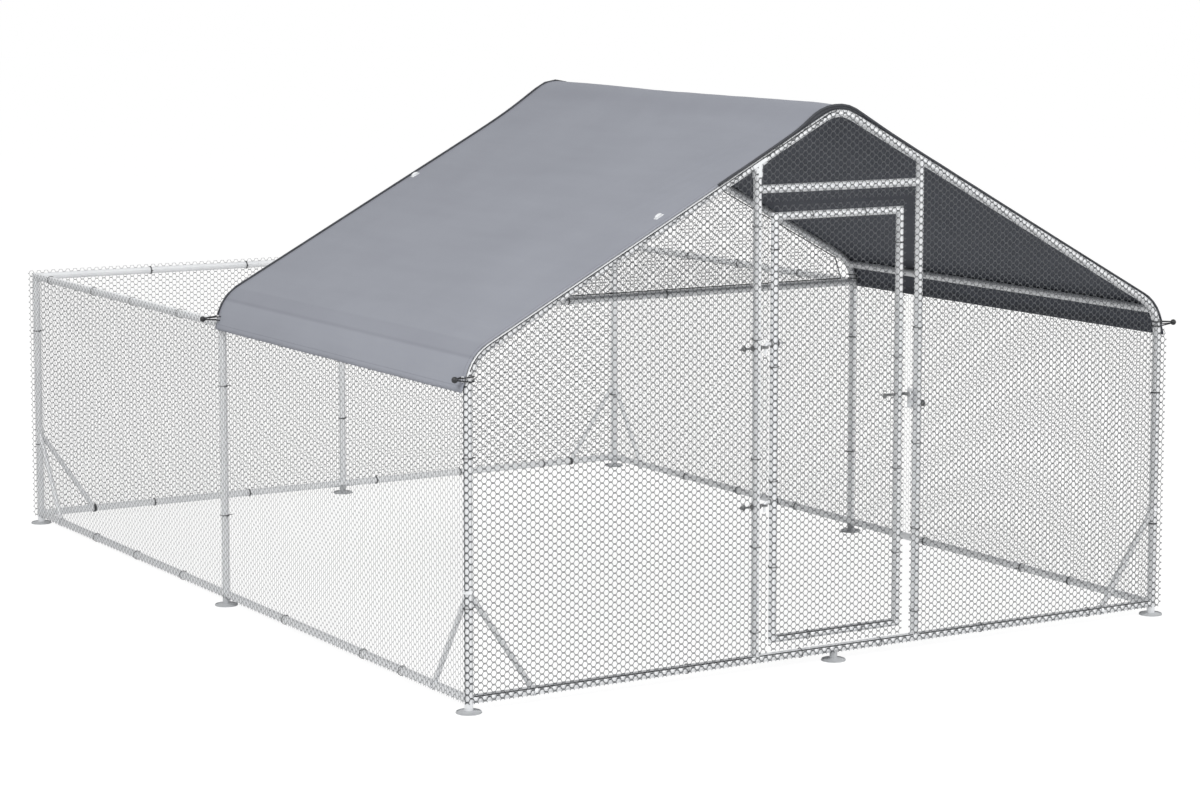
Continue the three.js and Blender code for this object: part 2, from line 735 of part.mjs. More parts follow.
// Stands a panel up: its second direction becomes Z, and it faces outwards
function standNet(net, facing, offset) {
  return net.rotate([RIGHT_ANGLE, 0, facing]).translate([offset.x, offset.y, 0]);
}

const netOut = TUBE_R + SEAT_GAP;
const netFoot = SILL_HEIGHT - NET_LAP;
const netTop = RAIL_HEIGHT + NET_LAP;
const netSide = HALF_WIDTH + NET_LAP;
const bendX = HALF_WIDTH - ELBOW_TANGENT * Math.cos(SLOPE);
const bendZ = rafterHeight(bendX);
const apexX = APEX_TANGENT * Math.cos(SLOPE);
const apexZ = rafterHeight(apexX);

// Ties: an elastic loop round the post, through the cover, with a ball outside

const tieTilt = Math.asin((TIE_HEIGHT - ELBOW_FOOT) / ELBOW_BEND_R);
const tiePostX = HALF_WIDTH - ELBOW_BEND_R * (1 - Math.cos(tieTilt));
const bendFlat = ELBOW_BEND_R * (1 - Math.cos(ELBOW_TURN / BEND_STEPS / 2));
const tieLean = TIE_CORD_R * Math.tan(tieTilt) + TUBE_R * (1 / Math.cos(tieTilt) - 1) + bendFlat;
const tieArcX = tieLean - NET_THICKNESS - SEAT_GAP;

// The loop's two straight strands end side by side in the ball
function tieRoute() {
  const innerR = TUBE_R + SEAT_GAP + NET_THICKNESS + SEAT_GAP + TIE_CORD_R;
  const loopR = innerR / Math.cos(QUARTER_TURN / TIE_ARC_STEPS);
  const stations = [];
  for (let step = 0; step <= TIE_ARC_STEPS; step += 1) {
    const angle = -QUARTER_TURN + Math.PI * step / TIE_ARC_STEPS;
    const out = at(Math.cos(angle), Math.sin(angle), 0);
    const point = at(tieArcX, 0, 0).addScaledVector(out, loopR);
    stations.push({ at: point, along: Z_AXIS.clone().cross(out) });
  }
  const strandY = TIE_CORD_R + SEAT_GAP;
  const ballX = -TIE_REACH + TIE_BALL_R / 2;
  const outward = X_AXIS.clone().negate();
  stations.push({ at: at(ballX, strandY, 0), along: outward });
  stations.push({ at: at(ballX, -strandY, 0), along: X_AXIS });
  return stations;
}

function tieLoop(r) {
  const rings = tieRoute().map((station) => ringAt(station, Z_AXIS, r, CORD_SIDES));
  return solidOf(skin(rings, true));
}

const tieBall = solidOf(new THREE.SphereGeometry(TIE_BALL_R, BALL_SEGMENTS, BALL_RINGS)).translate([-TIE_REACH, 0, 0]);
const tieSolid = join([tieLoop(TIE_CORD_R), tieBall]);
const tieSpace = tieLoop(TIE_CORD_R + SEAT_GAP);
const tiePlaces = [
  ['front_left_tie', -tiePostX, FRONT_Y, 0],
  ['front_right_tie', tiePostX, FRONT_Y, 2],
  ['middle_left_tie', -tiePostX, MIDDLE_Y, 0],
  ['middle_right_tie', tiePostX, MIDDLE_Y, 2],
];
const tieSpaces = tiePlaces.map(([, x, y, turns]) => {
  return tieSpace.rotate([0, 0, turns * RIGHT_ANGLE]).translate([x, y, TIE_HEIGHT]);
});

// Front panels stop at the jamb posts and are notched round the tee

const teeSpace = join([teeSaddle(TEE_WALL + SEAT_GAP), teeCollar(TEE_WALL + SEAT_GAP)]);

function frontNet(side, jambX) {
  const edge = jambX + side * NET_EDGE_GAP;
  const half = [
    [side * netSide, netFoot],
    [edge, netFoot],
    [edge, rafterHeight(jambX)],
    [side * bendX, bendZ],
    [side * netSide, ELBOW_FOOT],
  ];
  return netPanel(side === LEFT ? half : half.reverse());
}

const frontPlane = at(0, FRONT_Y - netOut, 0);
const backPlane = at(0, BACK_Y + netOut + NET_THICKNESS, 0);
const middlePlane = at(0, MIDDLE_Y + netOut + NET_THICKNESS, 0);
const frontNets = {
  front_left_net: frontNet(LEFT, LEFT_JAMB_X),
  front_right_net: frontNet(RIGHT, RIGHT_JAMB_X),
  front_gable_net: netPanel([
    [LEFT_JAMB_X + NET_EDGE_GAP, LINTEL_HEIGHT],
    [RIGHT_JAMB_X - NET_EDGE_GAP, LINTEL_HEIGHT],
    [RIGHT_JAMB_X - NET_EDGE_GAP, rafterHeight(RIGHT_JAMB_X)],
    [apexX, apexZ],
    [-apexX, apexZ],
    [LEFT_JAMB_X + NET_EDGE_GAP, rafterHeight(LEFT_JAMB_X)],
  ]),
};
for (const [name, geometry] of Object.entries(frontNets)) {
  const standing = standNet(geometry, 0, frontPlane);
  addPiece(name, cut(standing, [teeSpace, ...tieSpaces]), netting());
}

const backOutline = [[-netSide, netFoot], [netSide, netFoot], [netSide, netTop], [-netSide, netTop]];
addPiece('back_net', standNet(netPanel(backOutline), 0, backPlane), netting());

const gableFoot = HALF_WIDTH - GABLE_NET_INSET;
addPiece('middle_gable_net', standNet(netPanel([
  [-gableFoot, RAIL_HEIGHT],
  [gableFoot, RAIL_HEIGHT],
  [bendX, bendZ],
  [apexX, apexZ],
  [-apexX, apexZ],
  [-bendX, bendZ],
]), 0, middlePlane), netting());

const sideOutline = [
  [FRONT_Y - NET_LAP, netFoot],
  [BACK_Y + NET_LAP, netFoot],
  [BACK_Y + NET_LAP, netTop],
  [FRONT_Y - NET_LAP, netTop],
];
const leftPlane = at(-HALF_WIDTH - netOut - NET_THICKNESS, 0, 0);
const rightPlane = at(HALF_WIDTH + netOut, 0, 0);
addPiece('left_net', standNet(netPanel(sideOutline), RIGHT_ANGLE, leftPlane), netting());
addPiece('right_net', standNet(netPanel(sideOutline), RIGHT_ANGLE, rightPlane), netting());

for (const [name, x, y, turns] of tiePlaces) {
  const tie = addPiece(name, tieSolid, blackElastic());
  tie.position.set(x, y, TIE_HEIGHT);
  tie.rotation.z = turns * QUARTER_TURN;
}

// Cover: a sheet over both slopes, slack between the gables, its hems hanging free

// Half of the arch outside the tubes, from the hem up to the ridge: each station has
// its place, the way out of the roof there, and how much it sags or flares
function archStations() {
  const out = TUBE_R + SEAT_GAP;
  const netFace = out + NET_THICKNESS + SEAT_GAP;
  const hemX = HALF_WIDTH + netFace;
  const stations = [
    { x: hemX + HEM_FLARE, z: HEM_HEIGHT, outX: 1, outZ: 0, sag: 0, wave: 1 },
    { x: hemX, z: netTop + SEAT_GAP, outX: 1, outZ: 0, sag: 0, wave: 0 },
  ];
  const centreX = HALF_WIDTH - ELBOW_BEND_R;
  const firstAngle = Math.asin((netTop + COVER_TURN_RISE - ELBOW_FOOT) / ELBOW_BEND_R);
  for (let step = 1; step <= COVER_BEND_STEPS; step += 1) {
    const angle = firstAngle + (ELBOW_TURN - firstAngle) * step / COVER_BEND_STEPS;
    const r = (ELBOW_BEND_R + out) / Math.cos((ELBOW_TURN - firstAngle) / COVER_BEND_STEPS / 2);
    stations.push({
      x: centreX + r * Math.cos(angle),
      z: ELBOW_FOOT + r * Math.sin(angle),
      outX: Math.cos(angle),
      outZ: Math.sin(angle),
      sag: 0,
      wave: 0,
    });
  }
  const outX = Math.sin(SLOPE);
  const outZ = Math.cos(SLOPE);
  for (let step = 1; step <= SLOPE_STEPS; step += 1) {
    const share = step / SLOPE_STEPS;
    const x = bendX + (apexX - bendX) * share;
    stations.push({
      x: x + out * outX,
      z: rafterHeight(x) + out * outZ,
      outX,
      outZ,
      sag: Math.sin(Math.PI * share),
      wave: 0,
    });
  }
  const apexCentreZ = APEX_HEIGHT - APEX_BEND_R;
  const apexR = (APEX_BEND_R + out) / Math.cos(SLOPE / COVER_BEND_STEPS);
  for (let step = 1; step <= COVER_BEND_STEPS / 2; step += 1) {
    const angle = SLOPE * (1 - step / (COVER_BEND_STEPS / 2));
    stations.push({
      x: apexR * Math.sin(angle),
      z: apexCentreZ + apexR * Math.cos(angle),
      outX: Math.sin(angle),
      outZ: Math.cos(angle),
      sag: 0,
      wave: 0,
    });
  }
  return stations;
}

function mirrored(station) {
  return { ...station, x: -station.x, outX: -station.outX };
}

// Two grids of points, inside and outside, closed round their edges
function sheet(inside, outside) {
  const rows = inside.length;
  const across = inside[0].length;
  const positions = [];
  for (const grid of [inside, outside]) {
    grid.flat().forEach((point) => positions.push(point.x, point.y, point.z));
  }
  const lower = (i, j) => i * across + j;
  const upper = (i, j) => rows * across + i * across + j;
  const index = [];
  const quad = (a, b, c, d) => index.push(a, b, c, a, c, d);
  for (let i = 0; i < rows - 1; i += 1) {
    for (let j = 0; j < across - 1; j += 1) {
      quad(upper(i, j), upper(i, j + 1), upper(i + 1, j + 1), upper(i + 1, j));
      quad(lower(i, j), lower(i + 1, j), lower(i + 1, j + 1), lower(i, j + 1));
    }
    quad(lower(i, 0), upper(i, 0), upper(i + 1, 0), lower(i + 1, 0));
    quad(upper(i, across - 1), lower(i, across - 1), lower(i + 1, across - 1), upper(i + 1, across - 1));
  }
  for (let j = 0; j < across - 1; j += 1) {
    quad(lower(0, j), lower(0, j + 1), upper(0, j + 1), upper(0, j));
    quad(upper(rows - 1, j), upper(rows - 1, j + 1), lower(rows - 1, j + 1), lower(rows - 1, j));
  }
  const geometry = new THREE.BufferGeometry();
  geometry.setAttribute('position', new THREE.Float32BufferAttribute(positions, 3));
  geometry.setIndex(index);
  return geometry;
}

function coverSheet() {
  const rightHalf = archStations();
  const leftHalf = rightHalf.slice(0, -1).map(mirrored);
  const arch = [...leftHalf, ...rightHalf.reverse()];
  const from = FRONT_Y - COVER_LAP;
  const length = ROOFED_LENGTH + 2 * COVER_LAP;
  const inside = [];
  const outside = [];
  for (let step = 0; step <= COVER_STATIONS; step += 1) {
    const share = step / COVER_STATIONS;
    const slack = Math.sin(Math.PI * share) ** 2;
    const ripple = (1 - Math.cos(2 * Math.PI * HEM_WAVES * share)) / 2;
    const row = (extra) => arch.map((one) => {
      const out = extra - COVER_SAG * one.sag * slack + HEM_WAVE * one.wave * ripple;
      return at(one.x + one.outX * out, from + length * share, one.z + one.outZ * out);
    });
    inside.push(row(0));
    outside.push(row(COVER_THICKNESS));
  }
  return solidOf(sheet(inside, outside));
}

addPiece('cover', cut(coverSheet(), tieSpaces), coverCloth());

// Hinges: an eye bolt through the jamb post carries a pin bolt through the stile

const jambFace = HINGE_SIDE_GAP / 2; // from the hinge's axis to the jamb's surface
const eyeBolt = join([
  eyeRing(at(0, 0, 0), EYE_RING_R, EYE_ROD_R),
  rodAlongX(-jambFace - 2 * TUBE_R - EYE_TAIL, -EYE_RING_R, 0, 0, EYE_ROD_R),
  rodAlongX(-jambFace + SEAT_GAP, -jambFace + SEAT_GAP + NUT_LENGTH, 0, 0, NUT_R, HEX_SIDES),
  rodAlongX(
    -jambFace - 2 * TUBE_R - SEAT_GAP - NUT_LENGTH,
    -jambFace - 2 * TUBE_R - SEAT_GAP,
    0,
    0,
    NUT_R,
    HEX_SIDES,
  ),
]);
const eyeTop = EYE_ROD_R + SEAT_GAP;
const shankZ = eyeTop + PIN_BEND_R;
const leafFace = HINGE_SIDE_GAP / 2; // from the hinge's axis to the stile's surface
const pinRoute = bentRoute([
  at(0, 0, -PIN_DROP),
  at(0, 0, shankZ),
  at(leafFace + 2 * LEAF_TUBE_R + PIN_TAIL, 0, shankZ),
], [PIN_BEND_R]);
const pinBolt = join([
  rod(pinRoute, Y_AXIS, HINGE_PIN_R, ROD_SIDES),
  rod(straightRoute(at(0, 0, eyeTop), at(0, 0, eyeTop + PIN_COLLAR_HEIGHT)), Y_AXIS, PIN_COLLAR_R),
  rodAlongX(leafFace - SEAT_GAP - NUT_LENGTH, leafFace - SEAT_GAP, 0, shankZ, NUT_R, HEX_SIDES),
  rodAlongX(
    leafFace + 2 * LEAF_TUBE_R + SEAT_GAP,
    leafFace + 2 * LEAF_TUBE_R + SEAT_GAP + NUT_LENGTH,
    0,
    shankZ,
    NUT_R,
    HEX_SIDES,
  ),
]);

const hinges = [['lower', LOWER_HINGE_HEIGHT], ['upper', UPPER_HINGE_HEIGHT]];
for (const [name, height] of hinges) {
  addPiece(`${name}_hinge_eye`, eyeBolt, zincPlated()).position.set(HINGE_X, FRONT_Y, height);
}

// Door leaf, in a group that turns about the hinges' axis

const door = new THREE.Group();
door.position.set(HINGE_X, FRONT_Y, 0);
pen.add(door);

const stileNear = LEFT_STILE_X - HINGE_X;
const stileFar = RIGHT_STILE_X - HINGE_X;

// Four mitred tubes in a ring; r is half of a tube's width there
function leafRing(r) {
  const corners3d = [
    [stileNear, LEAF_BOTTOM, -1, -1],
    [stileFar, LEAF_BOTTOM, 1, -1],
    [stileFar, LEAF_TOP, 1, 1],
    [stileNear, LEAF_TOP, -1, 1],
  ];
  const rings = corners3d.map(([x, z, outX, outZ]) => {
    const ring = [];
    for (let j = 0; j < TUBE_SIDES; j += 1) {
      const angle = 2 * Math.PI * (j + 1 / 2) / TUBE_SIDES;
      const out = r * Math.cos(angle);
      ring.push(at(x + outX * out, r * Math.sin(angle), z + outZ * out));
    }
    return ring;
  });
  return solidOf(skin(rings, true));
}

const boltHole = rodAlongX(
  stileFar - LEAF_TUBE_R - OVERRUN,
  stileFar + LEAF_TUBE_R + OVERRUN,
  0,
  LATCH_HEIGHT,
  BOLT_R + SEAT_GAP,
);
const leafBore = leafRing(LEAF_TUBE_R - LEAF_TUBE_WALL);

// The pin bolts are one solid with the leaf that carries them
const pinBolts = hinges.map(([, height]) => pinBolt.translate([0, 0, height]));
addPiece('door_frame', join([
  cut(leafRing(LEAF_TUBE_R), [leafBore, boltHole]),
  ...pinBolts,
]), galvanised(), door);

const doorNet = netPanel([
  [stileNear, LEAF_BOTTOM],
  [stileFar, LEAF_BOTTOM],
  [stileFar, LEAF_TOP],
  [stileNear, LEAF_TOP],
], doorCell, LEAF_TUBE_R);
addPiece('door_net', standNet(doorNet, 0, at(0, -LEAF_TUBE_R - SEAT_GAP, 0)), netting(), door);

// Sliding bolt, drawn back: it runs through the stile and shoots into the keeper

const boltFrom = stileFar - LEAF_TUBE_R - BOLT_INSIDE;
const boltTip = keeperX - HINGE_X - BOLT_TIP_GAP;
const handleX = stileFar + LEAF_TUBE_R + HANDLE_OFFSET;
const handle = rod(
  straightRoute(at(handleX, 0, LATCH_HEIGHT), at(handleX, -HANDLE_LENGTH, LATCH_HEIGHT)),
  X_AXIS,
  HANDLE_R,
  ROD_SIDES,
);
const knob = solidOf(new THREE.SphereGeometry(KNOB_R, BALL_SEGMENTS, BALL_RINGS))
  .translate([handleX, -HANDLE_LENGTH, LATCH_HEIGHT]);
addPiece('latch_bolt', join([
  rodAlongX(boltFrom, boltTip, 0, LATCH_HEIGHT, BOLT_R),
  rodAlongX(boltFrom, boltFrom + BOLT_STOP_LENGTH, 0, LATCH_HEIGHT, BOLT_STOP_R),
  handle,
  knob,
]), zincPlated(), door);

export default pen;
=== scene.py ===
# %% [markdown]
# # A walk-in poultry pen
# The real object is a frame of galvanised tube, 3 m wide and 4 m long, with hexagonal wire
# netting on every wall. A grey cloth cover goes over the front half, and a netted door is
# hung in the front. The measured frame is loaded first, and every piece below is placed by
# its sizes, so nothing has to be fitted by eye.

# %% Load the measured frame
import json
import math

import bmesh
import bpy
from mathutils import Matrix, Vector


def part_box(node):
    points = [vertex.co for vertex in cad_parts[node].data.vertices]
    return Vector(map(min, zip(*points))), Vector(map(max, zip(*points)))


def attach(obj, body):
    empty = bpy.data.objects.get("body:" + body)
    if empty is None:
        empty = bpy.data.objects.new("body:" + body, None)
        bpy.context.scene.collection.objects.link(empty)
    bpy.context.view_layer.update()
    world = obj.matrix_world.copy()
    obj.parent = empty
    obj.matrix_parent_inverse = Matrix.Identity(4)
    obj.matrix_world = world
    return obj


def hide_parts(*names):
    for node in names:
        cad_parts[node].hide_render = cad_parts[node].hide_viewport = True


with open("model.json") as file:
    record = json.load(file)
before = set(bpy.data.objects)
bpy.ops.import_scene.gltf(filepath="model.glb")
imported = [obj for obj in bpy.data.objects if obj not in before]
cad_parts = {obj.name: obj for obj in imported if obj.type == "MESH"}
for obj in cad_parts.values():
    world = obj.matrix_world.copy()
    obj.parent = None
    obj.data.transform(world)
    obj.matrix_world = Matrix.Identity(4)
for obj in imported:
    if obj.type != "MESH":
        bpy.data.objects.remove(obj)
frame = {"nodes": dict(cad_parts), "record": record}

scene = bpy.context.scene
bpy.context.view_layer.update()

# %% [markdown]
# ## Sizes of the pen
# Everything here is in metres. These are the centre lines of the tubes: the posts stand at
# plus and minus HALF_WIDTH, the front is at minus Y and the back at plus Y. Writing each
# size once keeps the netting, the cover and the small fittings in line with the tubes.

# %% Sizes of the pen
HALF_WIDTH = 1.485
FRONT_Y = -1.990
MIDDLE_Y = -0.015
BACK_Y = 1.990
RAIL_Z = 1.100
SILL_Z = 0.045
EAVE_Z = 1.184
RIDGE_Z = 1.978
TUBE_R = 0.015
SLOPE = math.atan2(RIDGE_Z - EAVE_Z, HALF_WIDTH)
ELBOW_R = 0.150
APEX_R = 0.125
ELBOW_LENGTH = ELBOW_R * math.tan((math.pi / 2 - SLOPE) / 2)
ELBOW_FOOT = EAVE_Z - ELBOW_LENGTH
APEX_Z = RIDGE_Z - APEX_R * (1 / math.cos(SLOPE) - 1)
LEFT_JAMB_X, RIGHT_JAMB_X = -0.340, 0.358
LEFT_STILE_X, RIGHT_STILE_X = -0.266, 0.271
LINTEL_Z = 1.705
LEAF_TOP, LEAF_BOTTOM = 1.608, 0.109
LEAF_TUBE_R = 0.014
HINGE_HEIGHTS = (0.590, 1.150)
HINGE_X = -0.3025
LATCH_Z = 0.943


def rafter_z(x):
    """The height of a rafter's centre line."""
    return RIDGE_Z - abs(x) * math.tan(SLOPE)


print("roof slope", round(math.degrees(SLOPE), 1), "degrees")

# %% [markdown]
# ## The camera
# The photograph was taken from the front left, a little above the ridge, with a long lens
# that keeps the posts nearly parallel. The camera stands where the posts and feet of the
# photograph meet in perspective, and a small shift moves the frame without tilting it.

# %% The camera
camera = bpy.data.objects.new("camera", bpy.data.cameras.new("camera"))
scene.collection.objects.link(camera)
camera.location = (-6.236, -10.787, 2.5245)
camera.rotation_euler = (math.radians(90 - 6.915), math.radians(-0.061), math.radians(-31.23))
camera.data.lens = 91.85
camera.data.sensor_width = 36
camera.data.shift_x = -0.0159
camera.data.shift_y = -0.0649
scene.camera = camera

# %% [markdown]
# ## A small kit for nodes
# A material is a net of nodes. Written out by hand it is hard to read, so one class adds
# the nodes of a material or of the world, and another lets their numbers be added and
# multiplied like any others. Each sum on them makes the Math node that works it out.

class Reading:
    """A number, colour or vector that a node gives."""

    def __init__(self, net, socket):
        self.net = net
        self.socket = socket

    def math(self, operation, *others):
        inputs = dict(enumerate((self, *others)))
        return self.net.node("ShaderNodeMath", {"operation": operation}, inputs)

    def __add__(self, other):
        return self.math("ADD", other)

    def __mul__(self, other):
        return self.math("MULTIPLY", other)

    def __sub__(self, other):
        return self.math("SUBTRACT", other)

    def __rsub__(self, other):
        return self.net.node("ShaderNodeMath", {"operation": "SUBTRACT"}, {0: other, 1: self})

    __radd__ = __add__
    __rmul__ = __mul__

    def between(self, low, high):
        """0 below low, 1 above high, and smooth between them."""
        inputs = {"Value": self, "From Min": low, "From Max": high}
        return self.net.node("ShaderNodeMapRange", {"interpolation_type": "SMOOTHSTEP"}, inputs)

    def near(self, value, reach):
        """1 at a value, and fading to 0 at a reach to either side of it."""
        return 1 - self.math("SUBTRACT", value).math("ABSOLUTE").between(0.0, reach)


class Net:
    """The nodes of a material or of the world."""

    def __init__(self, tree):
        self.tree = tree

    def feed(self, socket, value):
        if isinstance(value, Reading):
            self.tree.links.new(value.socket, socket)
        else:
            socket.default_value = value

    def node(self, kind, settings=None, inputs=None, output=0):
        """Adds a node with its settings first and then the values or links of its sockets."""
        made = self.tree.nodes.new(kind)
        for name, value in (settings or {}).items():
            setattr(made, name, value)
        for name, value in (inputs or {}).items():
            self.feed(made.inputs[name], value)
        return Reading(self, made.outputs[output])


class Finish(Net):
    """A material of one colour, roughness and metal, with the nodes that vary it."""

    def __init__(self, name, colour, roughness, metallic=0.0, specular=0.5):
        self.material = bpy.data.materials.new(name)
        self.material.use_nodes = True
        super().__init__(self.material.node_tree)
        self.shader = self.tree.nodes["Principled BSDF"]
        self.set("Base Color", (*colour, 1))
        self.set("Roughness", roughness)
        self.set("Metallic", metallic)
        self.set("Specular IOR Level", specular)

    def set(self, name, value):
        self.feed(self.shader.inputs[name], value)

    def place(self, scale=(1, 1, 1)):
        """Where a point is on the piece, in metres, stretched by scale."""
        here = self.node("ShaderNodeTexCoord", output="Object")
        return self.node("ShaderNodeMapping", None, {"Vector": here, "Scale": scale})

    def noise(self, scale, detail=3.0, where=None):
        inputs = {"Vector": where or self.place(), "Scale": scale, "Detail": detail}
        return self.node("ShaderNodeTexNoise", None, inputs)

    def mix(self, share, first, second):
        """A colour between two others."""
        inputs = {0: share, 6: first, 7: second}
        return self.node("ShaderNodeMix", {"data_type": "RGBA"}, inputs, 2)

    def bump(self, height, distance, strength=1.0):
        inputs = {"Height": height, "Distance": distance, "Strength": strength}
        self.set("Normal", self.node("ShaderNodeBump", None, inputs))


def rgb(red, green, blue):
    """A screen colour, 0 to 255, as the light that a material reflects."""
    parts = [value / 255 for value in (red, green, blue)]
    return tuple(p / 12.92 if p <= 0.04045 else ((p + 0.055) / 1.055) ** 2.4 for p in parts)


# %% [markdown]
# ## Light and background
# The photograph has a white studio round the pen. A plain world lights every side evenly,
# and two large lamps from the front give the roof and the tubes their shading. The world
# only looks fully white to the camera, in reflections and through glass: as a light it is
# weaker, so that pale tubes don't burn out.

# %% World and lamps
scene.view_settings.view_transform = "Standard"
world = bpy.data.worlds.new("studio")
scene.world = world
world.use_nodes = True
studio = Net(world.node_tree)
WORLD_LIGHT = 0.46
looked_at = studio.node("ShaderNodeLightPath", output="Is Camera Ray")
mirrored = studio.node("ShaderNodeLightPath", output="Is Glossy Ray")
seen_through = studio.node("ShaderNodeLightPath", output="Is Transmission Ray")
white_share = looked_at.math("MAXIMUM", mirrored).math("MAXIMUM", seen_through)
background = world.node_tree.nodes["Background"]
studio.feed(background.inputs["Color"], (1, 1, 1, 1))
studio.feed(background.inputs["Strength"], white_share * (1 - WORLD_LIGHT) + WORLD_LIGHT)


def soft_lamp(name, place, target, size, watts):
    """A square lamp that points at a place on the pen."""
    lamp = bpy.data.objects.new(name, bpy.data.lights.new(name, "AREA"))
    lamp.data.size = size
    lamp.data.energy = watts
    lamp.location = place
    lamp.rotation_euler = (Vector(target) - Vector(place)).to_track_quat("-Z", "Y").to_euler()
    scene.collection.objects.link(lamp)


soft_lamp("key_lamp", (-7, -6, 8), (0, 0, 0.8), 5, 640)
soft_lamp("fill_lamp", (6, -9, 5), (0, 0, 0.8), 6, 330)
print("world light", WORLD_LIGHT, "and two lamps")

# %% [markdown]
# ## Galvanised tube
# Hot zinc freezes on steel in pale crystals, and handling leaves dull patches on it. Cells
# of a Voronoi pattern, each a little lighter or darker, stand for the crystals, a slow
# noise for the patches, and a fine noise in the bump for the grain of the zinc.

# %% Galvanised tube
def zinc_finish(name, light, dull, roughness, crystal=90.0, metallic=0.6):
    finish = Finish(name, light, roughness, metallic)
    cells = finish.node("ShaderNodeTexVoronoi", None, {"Vector": finish.place(), "Scale": crystal}, "Color")
    shade = finish.node("ShaderNodeRGBToBW", None, {0: cells})
    patches = finish.noise(6.0, 4.0).math("POWER", 1.6)
    share = shade * 0.35 + patches * 0.75
    finish.set("Base Color", finish.mix(share, (*light, 1), (*dull, 1)))
    finish.set("Roughness", roughness + shade * 0.12 + patches * 0.10)
    finish.bump(finish.noise(420.0, 2.0) + shade * 0.4, 0.0003, 0.35)
    return finish


galvanised = zinc_finish("galvanised_tube", rgb(245, 246, 247), rgb(222, 224, 227), 0.38, metallic=0.3)
print("made", galvanised.material.name)

# %% [markdown]
# ## Netting wire, plated fittings and plastic
# The netting is drawn from thin wire that has gone darker than the tube, and it is tied to
# the tubes with darker wire still. The hinge bolts and the sliding bolt are zinc plated and
# greasy. The tee and the clips are moulded in white plastic and the feet in a pale grey that
# is partly painted shade, all with a faint orange-peel surface. The two clamps on the back
# sill are black, which stands partly for their dark bolt heads and partly for painted shadow.

# %% Wire, plated steel and plastic
def wire_finish(name, light, dark):
    finish = Finish(name, light, 0.5, metallic=0.15, specular=0.3)
    share = finish.noise(35.0, 2.0)
    finish.set("Base Color", finish.mix(share, (*light, 1), (*dark, 1)))
    finish.set("Roughness", 0.4 + share * 0.25)
    return finish


net_wire = wire_finish("net_wire", rgb(86, 88, 91), rgb(62, 64, 67))
tie_wire = wire_finish("tie_wire", rgb(62, 63, 65), rgb(38, 39, 41))
plated = zinc_finish("zinc_plated_fittings", rgb(158, 159, 160), rgb(108, 109, 110), 0.36, 160.0, 0.5)


def moulded_finish(name, colour, worn, roughness):
    finish = Finish(name, colour, roughness)
    cloudy = finish.noise(14.0, 4.0)
    finish.set("Base Color", finish.mix(cloudy.between(0.35, 0.75), (*colour, 1), (*worn, 1)))
    finish.set("Roughness", roughness + cloudy * 0.12)
    finish.bump(finish.noise(900.0, 1.0), 0.0002, 0.3)
    return finish


white_plastic = moulded_finish("white_plastic", rgb(238, 240, 242), rgb(224, 226, 228), 0.42)
# The grey of the feet is partly their plastic and partly painted shade.
foot_plastic_and_shade = moulded_finish("pale_grey_plastic_and_shade", rgb(190, 192, 194), rgb(172, 174, 177), 0.46)
# Black for the two lower clamps at the back: partly dark bolt heads, partly painted shadow.
black_clamp_and_shadow_finish = moulded_finish("black_steel_and_painted_shadow", rgb(44, 45, 47), rgb(70, 71, 73), 0.5)
black_plastic = moulded_finish("black_plastic", rgb(20, 21, 23), rgb(34, 35, 38), 0.4)
print("made", net_wire.material.name, plated.material.name, foot_plastic_and_shade.material.name)


# %% [markdown]
# ## Elastic
# The ties are rubber strands in a woven black sleeve. Two slanting waves that cross make
# the plait of the sleeve, on the piece's own coordinates along and round the cord.

# %% Elastic
def plait_finish(name, colour, light):
    finish = Finish(name, colour, 0.72)
    where = finish.node("ShaderNodeUVMap")
    ways = []
    for turn in (0.78, -0.78):
        ways.append(finish.node("ShaderNodeMapping", None, {"Vector": where, "Rotation": (0, 0, turn)}))
    waves = [finish.node("ShaderNodeTexWave", None, {"Vector": way, "Scale": 3.2}) for way in ways]
    plait = waves[0].math("MAXIMUM", waves[1])
    finish.set("Base Color", finish.mix(plait * 0.5, (*colour, 1), (*light, 1)))
    finish.set("Roughness", 0.62 + plait * 0.2)
    finish.bump(plait, 0.0006, 0.8)
    return finish


elastic = plait_finish("black_elastic", rgb(22, 23, 25), rgb(58, 60, 63))
print("made", elastic.material.name)


# %% [markdown]
# ## Cloth of the cover
# The cover is coated woven cloth. Its UV map holds the flat cloth in metres, so the weave
# keeps its size over the bends. Two crossed waves make the weave, slow noise makes the
# coating uneven, and a stretched noise leaves soft handling creases. The cloth was folded
# along the eave: painted shade darkens a band in the bend and a sharp crease under it, and
# the hem below is painted paler. A darker band lies near the ridge. Near each edge the
# cloth is turned under, and a row of short dark stitches holds it.

# %% Cloth of the cover
COVER_HALF = 1.7897
COVER_LENGTH = 1.995
SLOPE_FROM, SLOPE_TO = 0.0692, 1.5965
CREASE = 1.668
HEM_WIDTH = 0.024


